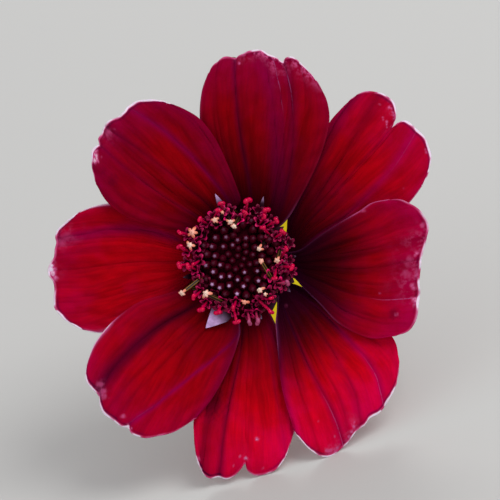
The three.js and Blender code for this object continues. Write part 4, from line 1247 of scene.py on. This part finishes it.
def style_bodies(mouths, tips, sizes, random):
    """A style on each mature floret: a straight stalk, and two branches curled back on arcs in one plane.
    The values rise along the branches."""
    count = len(mouths)
    along = unit(tips - mouths)
    steps = np.linspace(STALK_FOOT, 1, len(STALK_PROFILE))[None, :, None]
    stalk = mouths[:, None] + (tips - mouths)[:, None] * steps
    axes = frames_along(tips, along, random.uniform(0, FULL_TURN, count), np.ones(count))[1]
    x, y = axes[..., 0], axes[..., 1]
    rings = swept(stalk, STYLE_RADIUS * np.array(STALK_PROFILE), STALK_SIDES, y)
    fade = np.linspace(0, STALK_VALUE, len(STALK_PROFILE))[None, :, None]
    bodies = [closed_bodies(rings, np.broadcast_to(fade, rings.shape[:3]))]
    turn = np.linspace(0, 1, len(KNOB_PROFILE))[None, :, None] * random.uniform(*KNOB_TURN, (count, 1, 1))
    radii = KNOB_THICKNESS * sizes[:, None] * np.array(KNOB_PROFILE)
    fade = np.linspace(STALK_VALUE, 1, len(KNOB_PROFILE))[None, :, None]
    for side in (-1, 1):
        curl = KNOB_CURL * sizes[:, None, None] * random.uniform(*KNOB_CURLS, (count, 1, 1))
        sideways, onwards = side * curl * (1 - np.cos(turn)), curl * np.sin(turn)
        path = tips[:, None] + x[:, None] * sideways + along[:, None] * onwards
        rings = swept(path, radii, KNOB_SIDES, y)
        bodies.append(closed_bodies(rings, np.broadcast_to(fade, rings.shape[:3])))
    return joined_bodies(bodies)


def scale_bodies():
    """Pointed scales between the florets: a flat section carried along a path that rises from the base to
    the tip, as wide as its base until it narrows to the tip; the values say how pale the scale is, most at
    the tip."""
    rows = np.array(SCALES)
    base, tip, half, pale = rows[:, :2], rows[:, 2:4], rows[:, 4:5], rows[:, 5:6]
    t = np.linspace(0, 1, SCALE_STEPS)[None, :]
    flat = base[:, None] + (tip - base)[:, None] * t[..., None]
    rise = SCALE_FOOT + SCALE_RISE * np.sin(t * math.pi * 0.6)
    path = np.concatenate([flat, np.broadcast_to(rise, flat.shape[:2])[..., None]], axis=-1)
    width = half * np.minimum(1, (1 - t) / SCALE_TAPER) ** 0.9 + SCALE_TIP
    sideways = np.column_stack([base[:, 1] - tip[:, 1], tip[:, 0] - base[:, 0], np.zeros(len(rows))])
    rings = swept(path, width, SCALE_SIDES, sideways, SCALE_FLATNESS)
    start = 0.8 - 0.55 * pale
    share = (pale * smoothstep((t - start) / (1 - start), 0, 0.85))[..., None]
    return closed_bodies(rings, np.broadcast_to(share, rings.shape[:3]))


def bract_cup(settings):
    """The inner bracts as one lobed cup. The edge is a notch plus a power of the cosine between two bracts,
    and the height follows the profile. Under side out to the edge, then the upper side back. The values
    are 1 on the upper side's outer part, where a painted glow stands for the light that shines through, and 0
    where the painted shade is."""
    angle = ring_angles(INNER_BRACT_SIDES)
    centres = np.radians(INNER_BRACTS)
    wrapped = np.concatenate([centres[-1:] - FULL_TURN, centres, centres[:1] + FULL_TURN])
    phase = np.interp((angle - centres[0]) % FULL_TURN + centres[0], wrapped, np.arange(len(wrapped)))
    lobe = np.abs(np.cos(math.pi * phase)) ** 0.6
    edge = INNER_BRACT_NOTCH + (settings.inner_reach / MM - INNER_BRACT_NOTCH) * lobe
    out = np.linspace(0.04, 1, INNER_BRACT_STEPS)[:, None]
    radius = out * edge
    keel = INNER_BRACT_CROWN * lobe - INNER_BRACT_KEEL * np.cos(4 * math.pi * phase)
    height = np.interp(radius, *np.array(INNER_BRACT_PROFILE).T)
    height = height + keel * smoothstep(radius, *INNER_BRACT_KEEL_GROWS)
    thick = INNER_BRACT_THICKNESS * (1 - INNER_BRACT_THINNING * out ** 4)
    x, y = radius * np.cos(angle), radius * np.sin(angle)
    under, upper = np.stack([x, y, height - thick], axis=-1), np.stack([x, y, height], axis=-1)
    # Where the painted glow is: between the angles of INNER_BRACTS_LIT, on the upper side's outer part
    low, high = np.radians(INNER_BRACTS_LIT)
    aside = np.abs((angle - (low + high) / 2 + math.pi) % FULL_TURN - math.pi)
    facing = 1 - smoothstep(aside, (high - low) / 2 - INNER_BRACT_LIT_EDGE, (high - low) / 2)
    lit = np.concatenate([0 * out, smoothstep(out[::-1], *INNER_BRACT_LIT)]) * facing
    return closed_bodies(np.concatenate([under, upper[::-1]])[None], lit[None])


def bract_blades(settings):
    """The narrow outer bracts on their hub: a flat, keeled section along a path that leaves the hub and
    bends up to the tip. The values rise to the tip."""
    t = np.linspace(0, 1, OUTER_BRACT_STEPS)
    azimuth = np.radians(OUTER_BRACT_TURN) + ring_angles(OUTER_BRACTS)
    distance, rise, half = smooth_curve(OUTER_BRACT_RIB, t).T
    outward = np.column_stack([unit_circle(azimuth), np.zeros(OUTER_BRACTS)])
    up = np.array([0, 0, 1.0])
    path = outward[:, None] * distance[None, :, None] + up * rise[None, :, None]
    width = np.broadcast_to(half * settings.outer_width, path.shape[:2])
    rings = swept(path, width, OUTER_BRACT_SIDES, np.cross(outward, up), OUTER_BRACT_FLATNESS)
    across = np.cos(ring_angles(OUTER_BRACT_SIDES))
    rings = rings + up * (OUTER_BRACT_KEEL * across ** 2 * half[:, None])[None, ..., None]
    shade = np.broadcast_to(OUTER_BRACT_BLUSH * t[None, :, None], rings.shape[:3])
    return joined_bodies([closed_bodies(rings, shade), profile_body(OUTER_BRACT_HUB, HUB_SIDES)])


def stem_path(steps):
    """Points along the stem in the row frame, in millimetres, evenly spaced: a cubic Bezier from the head
    along its axis to where the stem touches the table, and a straight run from there to the cut end."""
    level = STEM_RADIUS - STEM_FLAT
    touch = HEAD_PLACE * [1, 1, 0] + [STEM_SWAY / 2, STEM_TOUCH, level]
    end = HEAD_PLACE * [1, 1, 0] + [STEM_SWAY, STEM_REACH, level]
    first, second = (
        np.array([0, 0, z]) @ facing_matrix().T + HEAD_PLACE for z in (STEM_TOP, STEM_TOP - STEM_LEAD)
    )
    third = touch + STEM_LANDING * (touch - end)
    t = np.linspace(0, 1, 400)[:, None]
    back = 1 - t
    bend = back ** 3 * first + 3 * back ** 2 * t * second + 3 * back * t ** 2 * third + t ** 3 * touch
    path = np.concatenate([bend, touch + (end - touch) * t[1:]])
    length = np.concatenate([[0], np.cumsum(np.linalg.norm(np.diff(path, axis=0), axis=1))])
    at = np.linspace(0, length[-1], steps)
    return np.stack([np.interp(at, length, column) for column in path.T], axis=-1)


def stem_body(settings, random):
    """The stem: a ribbed section carried along its path, wider under the head, cut off square at its end
    and kept above the table."""
    path = stem_path(STEM_STEPS)
    t = np.linspace(0, 1, STEM_STEPS)
    radius = STEM_NECK_RADIUS + (STEM_RADIUS - STEM_NECK_RADIUS) * smoothstep(t, 0, STEM_NECK)
    radius = radius * (1 + STEM_WAVER * waves(t, random, *STEM_WAVES))
    rings = swept(path[None], radius[None], STEM_SIDES, np.array([[1.0, 0, 0]]))
    centre = path[None, :, None]
    angle = ring_angles(STEM_SIDES)[None, None, :, None] + STEM_TWIST * t[None, :, None, None]
    rib = 1 - settings.rib_depth * (0.5 - 0.5 * np.cos(STEM_RIBS * angle))
    rings = centre + (rings - centre) * rib
    rings[..., 2] = np.maximum(rings[..., 2], 0)
    return closed_bodies(rings, np.zeros(rings.shape[:3]))


def length_property(name, description, millimetres):
    length = millimetres * MM
    return bpy.props.FloatProperty(name=name, description=description, default=length, unit="LENGTH")


def share_property(name, description, default):
    return bpy.props.FloatProperty(name=name, description=description, default=default)


def count_property(name, description, default):
    return bpy.props.IntProperty(name=name, description=description, default=default)


def colour_property(name, description, *default):
    return bpy.props.FloatVectorProperty(name=name, description=description, default=default, subtype="COLOR")


class CosmosPetalSettings(bpy.types.PropertyGroup):
    thickness: length_property("Thickness", "Thickness in the middle of a petal", 0.28)
    rib_height: length_property("Rib height", "Height of the soft ribs along a petal", 0.05)
    vein_height: length_property("Vein height", "Height of the fine veins", 0.014)
    crease_depth: length_property("Crease depth", "Depth of the thin creases", 0.12)
    ripple_height: length_property("Ripple height", "Height of the faint ripples", 0.035)
    edge_raggedness: length_property("Edge raggedness", "How far the tip's edge wanders", 0.03)
    columns: count_property("Columns", "Grid points across a petal", 140)
    rows: count_property("Rows", "Grid points along a petal", 150)
    deep_colour: colour_property("Deep colour", "Darker streaks", 0.28, 0.0, 0.0035)
    bright_colour: colour_property("Bright colour", "Lighter streaks", 0.47, 0.0, 0.0058)
    tip_colour: colour_property("Tip colour", "Cooler crimson of tip and sides", 0.42, 0.0, 0.05)
    # The fold colours are painted shade along the creases and the crease violet a painted sheen; the line
    # colour, and the fleck and rim colours on the rims, are painted highlights; the base colours are partly
    # painted shade
    fold_colour: colour_property("Fold colour", "Dark bands along the creases", 0.07, 0.0, 0.008)
    fold_violet: colour_property("Fold violet", "Dark bands where they are violet", 0.09, 0.0, 0.022)
    crease_violet: colour_property("Crease violet", "Violet bands along some creases", 0.22, 0.0, 0.08)
    base_colour: colour_property("Base colour", "Blackish maroon by the disc", 0.008, 0.0, 0.0015)
    base_violet: colour_property("Base violet", "Blackish violet by the disc", 0.022, 0.0, 0.014)
    line_colour: colour_property("Line colour", "Lilac lines along creases and sides", 0.36, 0.09, 0.27)
    fleck_colour: colour_property("Fleck colour", "Pink of flecks, patches and rim", 0.54, 0.07, 0.21)
    rim_colour: colour_property("Rim colour", "Palest rim and flecks", 0.8, 0.66, 0.8)


class CosmosDiscSettings(bpy.types.PropertyGroup):
    buds: count_property("Buds", "Closed buds in the middle", 90)
    bud_reach: length_property("Bud reach", "Radius of the field of buds", 4.8)
    plain_gap: length_property("Plain gap", "Least distance of a plain floret from others", 0.5)
    bud_colour: colour_property("Bud colour", "Blackish maroon of the buds", 0.06, 0.0005, 0.008)
    # Painted reflection on the pale bud tips
    bud_highlight_colour: colour_property("Bud tip colour", "Lilac bud tips", 0.67, 0.39, 0.72)
    floret_colour: colour_property("Floret colour", "Dark crimson of the open florets", 0.09, 0.0, 0.016)
    floret_edge_colour: colour_property("Floret edge", "Bright edge of their lobes", 0.95, 0.008, 0.17)
    style_colour: colour_property("Style colour", "Stalks of the styles", 0.42, 0.0, 0.045)
    knob_colour: colour_property("Knob colour", "Curled ends of the styles", 0.78, 0.0, 0.065)
    faded_knob_colour: colour_property("Faded knob colour", "Curled ends of the last styles", 0.45, 0.1, 0.24)
    anther_colour: colour_property("Anther colour", "Anther tubes", 0.008, 0.004, 0.003)
    rib_colour: colour_property("Rib colour", "Golden ribs of some anther tubes", 0.42, 0.2, 0.035)
    star_colour: colour_property("Star colour", "Palest stars on the anthers", 1.0, 0.76, 0.62)
    star_deep_colour: colour_property("Deep star colour", "Most orange stars", 0.98, 0.23, 0.13)
    scale_colour: colour_property("Scale colour", "Pale scales", 0.8, 0.5, 0.94)
    scale_deep_colour: colour_property("Deep scale colour", "Dark foot of the scales", 0.03, 0.003, 0.012)


class CosmosBractSettings(bpy.types.PropertyGroup):
    inner_reach: length_property("Inner reach", "How far the inner bracts reach", 7.3)
    outer_width: share_property("Outer width", "Width of the outer bracts against their drawing", 1.0)
    inner_colour: colour_property("Inner colour", "Yellow-green inner bracts", 0.78, 0.66, 0.035)
    # The next colour is a painted glow for light through the bracts, and the one after it the painted shade
    # where that light is not
    inner_painted_glow: colour_property("Inner glow", "Light through the inner bracts", 0.5, 0.4, 0.01)
    inner_painted_shade: colour_property("Inner dull", "Inner bracts where no light shines through", 0.26, 0.25, 0.045)
    outer_colour: colour_property("Outer colour", "Dark green outer bracts", 0.05, 0.09, 0.018)
    outer_tip_colour: colour_property("Outer tip colour", "Reddish outer bract tips", 0.06, 0.012, 0.02)


class CosmosStemSettings(bpy.types.PropertyGroup):
    rib_depth: share_property("Rib depth", "Depth of the grooves against the radius", 0.1)
    colour: colour_property("Colour", "Reddish brown of the stem", 0.13, 0.045, 0.02)
    green: colour_property("Green", "Green that shows through", 0.1, 0.12, 0.03)


class CosmosStageSettings(bpy.types.PropertyGroup):
    floor_colour: colour_property("Floor", "Colour of the floor", 0.5, 0.495, 0.48)
    floor_size: length_property("Floor size", "Side", 4000)


class COSMOS_OT_petals(bpy.types.Operator):
    """Make the eight petals"""

    bl_idname = "cosmos.petals"
    bl_label = "Petals"

    def execute(self, context):
        settings = context.scene.cosmos_petals
        material = petal_material(settings)
        for number in range(1, len(PETALS) + 1):
            make_petal(number, material, settings)
        return {"FINISHED"}


class COSMOS_OT_disc(bpy.types.Operator):
    """Make the disc: its core, the closed buds, the open florets and the scales between them"""

    bl_idname = "cosmos.disc"
    bl_label = "Disc"

    def execute(self, context):
        settings = context.scene.cosmos_disc
        random = np.random.default_rng(DISC_SEED)
        buds = bud_bodies(settings, random)
        mouths, tips, plain = floret_places(settings, random)
        bright = random.uniform(*OPEN_BRIGHTNESS, len(mouths))
        dim = random.uniform(*PLAIN_BRIGHTNESS, len(plain))
        corollas = corolla_bodies(np.concatenate([mouths, plain]), np.concatenate([bright, dim]), random)
        fresh = len(FRESH_FLORETS)
        paleness, star_sizes, golden = np.array(FRESH_FLORETS)[:, 4:].T
        anthers = anther_bodies(mouths[:fresh], tips[:fresh], golden, random)
        stars = star_bodies(mouths[:fresh], tips[:fresh], paleness, STAR_SIZE * star_sizes, random)
        mouths, tips, knob_sizes = mouths[fresh:], tips[fresh:], np.array(MATURE_FLORETS)[:, 4]
        styles, faded = (
            style_bodies(mouths[which], tips[which], knob_sizes[which], random)
            for which in (slice(0, -LILAC_KNOBS), slice(-LILAC_KNOBS, None))
        )
        core = profile_body(RECEPTACLE, RECEPTACLE_SIDES)
        pieces = (
            ("disc_core", core, settings.bud_colour, settings.bud_colour, 0.8, 0.03),
            ("closed_buds", buds, settings.bud_colour, settings.bud_highlight_colour, 0.35, 0.05),
            ("open_florets", corollas, settings.floret_colour, settings.floret_edge_colour, 0.2, 0.15),
            ("anther_tubes", anthers, settings.anther_colour, settings.rib_colour, 0.4, 0.2),
            ("anther_stars", stars, settings.star_deep_colour, settings.star_colour, 0.6, 0.5),
            ("styles", styles, settings.style_colour, settings.knob_colour, 0.12, 0.18),
            ("faded_styles", faded, settings.style_colour, settings.faded_knob_colour, 0.25, 0.25),
            ("scales", scale_bodies(), settings.scale_deep_colour, settings.scale_colour, 0.5, 0.1),
        )
        for name, (vertices, faces, values), body, tip, roughness, specular in pieces:
            material = tipped_material(name.replace("_", " "), body, tip, roughness, specular)
            made = make_mesh(name, to_row(vertices), faces, material, values={"tip": values})
            place(made, "floret", "disc")
        return {"FINISHED"}


class COSMOS_OT_bracts(bpy.types.Operator):
    """Make the inner and the outer bracts"""

    bl_idname = "cosmos.bracts"
    bl_label = "Bracts"

    def execute(self, context):
        settings = context.scene.cosmos_bracts
        vertices, faces, values = bract_cup(settings)
        # The inner bracts glow with painted light on part of their upper side and take a painted shade
        # elsewhere
        material = mottled_material(
            "inner bracts", settings.inner_colour, scaled(settings.inner_colour, 0.75), scale=500,
            dull=settings.inner_painted_shade, glow=settings.inner_painted_glow)
        made = make_mesh("inner_bract_cup", to_row(vertices), faces, material, values={"tip": values})
        place(made, "inner_bract", "inner_bracts")
        vertices, faces, values = bract_blades(settings)
        material = tipped_material("outer bracts", settings.outer_colour, settings.outer_tip_colour, 0.45)
        made = make_mesh("outer_bract_blades", to_row(vertices), faces, material, values={"tip": values})
        place(made, "outer_bract", "outer_bracts")
        return {"FINISHED"}


class COSMOS_OT_stem(bpy.types.Operator):
    """Make the cut stem"""

    bl_idname = "cosmos.stem"
    bl_label = "Stem"

    def execute(self, context):
        settings = context.scene.cosmos_stem
        vertices, faces, _ = stem_body(settings, np.random.default_rng(STEM_SEED))
        material = mottled_material("stem", settings.colour, settings.green, scale=350)
        made = make_mesh("cut_stem", vertices * MM, faces, material)
        place(made, "stem", "stem")
        return {"FINISHED"}


class COSMOS_OT_stage(bpy.types.Operator):
    """Make the floor, the lights and the camera"""

    bl_idname = "cosmos.stage"
    bl_label = "Stage"

    def execute(self, context):
        make_floor(context.scene.cosmos_stage)
        make_lights(context.scene)
        make_camera(context.scene)
        return {"FINISHED"}


def make_floor(settings):
    """A flat square round the origin."""
    half = settings.floor_size / 2
    corners = np.array([[-half, -half, 0], [half, -half, 0], [half, half, 0], [-half, half, 0]])
    n = Nodes("floor")
    n.shader.inputs["Base Color"].default_value = (*settings.floor_colour, 1)
    n.shader.inputs["Roughness"].default_value = 0.8
    make_mesh("floor", corners, [np.array([[0, 1, 2, 3]])], n.material)


def make_lights(scene):
    """The light all round, and round lamps that are aimed at the flower's head."""
    scene.world = bpy.data.worlds.new("studio")
    scene.world.use_nodes = True
    background = scene.world.node_tree.nodes["Background"]
    background.inputs["Color"].default_value = SKY_COLOUR
    background.inputs["Strength"].default_value = SKY_STRENGTH
    for name, place_at, width, power in LAMPS:
        data = bpy.data.lights.new(name, "AREA")
        data.shape = "DISK"
        data.size = width
        data.energy = power
        lamp = bpy.data.objects.new(name, data)
        scene.collection.objects.link(lamp)
        lamp.location = place_at
        lamp.rotation_mode = "QUATERNION"
        lamp.rotation_quaternion = Vector(HEAD_PLACE * MM - place_at).to_track_quat("-Z", "Y")


def make_camera(scene):
    """Camera on a line through the middle of the photograph's frame, parallel to the flower's axis and
    rolled with it. The frame is fifty millimetres wide at the petals."""
    x = (FRAME_PIXELS / 2 - AXIS_PIXEL[0]) * PIXEL
    y = (AXIS_PIXEL[1] - FRAME_PIXELS / 2) * PIXEL
    data = bpy.data.cameras.new("camera")
    data.sensor_width = SENSOR_WIDTH
    data.lens = SENSOR_WIDTH * (VIEW_DISTANCE - VIEW_PLANE) / (FRAME_PIXELS * PIXEL)
    data.clip_start, data.clip_end = CLIP_START, CLIP_END
    camera = bpy.data.objects.new("camera", data)
    scene.collection.objects.link(camera)
    camera.location = to_row(np.array([x, y, VIEW_DISTANCE]))
    camera.rotation_mode = "QUATERNION"
    camera.rotation_quaternion = Matrix(facing_matrix().tolist()).to_quaternion()
    scene.camera = camera


class COSMOS_PT_panel(bpy.types.Panel):
    bl_idname = "COSMOS_PT_panel"
    bl_label = "Chocolate cosmos"
    bl_space_type = "VIEW_3D"
    bl_region_type = "UI"
    bl_category = "Cosmos"

    def draw(self, context):
        for operator in OPERATORS:
            self.layout.operator(operator.bl_idname)


SETTINGS = {
    "cosmos_petals": CosmosPetalSettings,
    "cosmos_disc": CosmosDiscSettings,
    "cosmos_bracts": CosmosBractSettings,
    "cosmos_stem": CosmosStemSettings,
    "cosmos_stage": CosmosStageSettings,
}
OPERATORS = (COSMOS_OT_petals, COSMOS_OT_disc, COSMOS_OT_bracts, COSMOS_OT_stem, COSMOS_OT_stage)


def register():
    for kind in (*SETTINGS.values(), *OPERATORS, COSMOS_PT_panel):
        bpy.utils.register_class(kind)
    for name, kind in SETTINGS.items():
        setattr(bpy.types.Scene, name, bpy.props.PointerProperty(type=kind))


def unregister():
    for name in SETTINGS:
        delattr(bpy.types.Scene, name)
    for kind in (COSMOS_PT_panel, *reversed(OPERATORS), *reversed(SETTINGS.values())):
        bpy.utils.unregister_class(kind)


def main():
    register()
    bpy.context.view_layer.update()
    bpy.context.scene.view_settings.view_transform = "Standard"
    bpy.ops.cosmos.petals()
    bpy.ops.cosmos.disc()
    bpy.ops.cosmos.bracts()
    bpy.ops.cosmos.stem()
    bpy.ops.cosmos.stage()


if __name__ == "__main__":
    main()
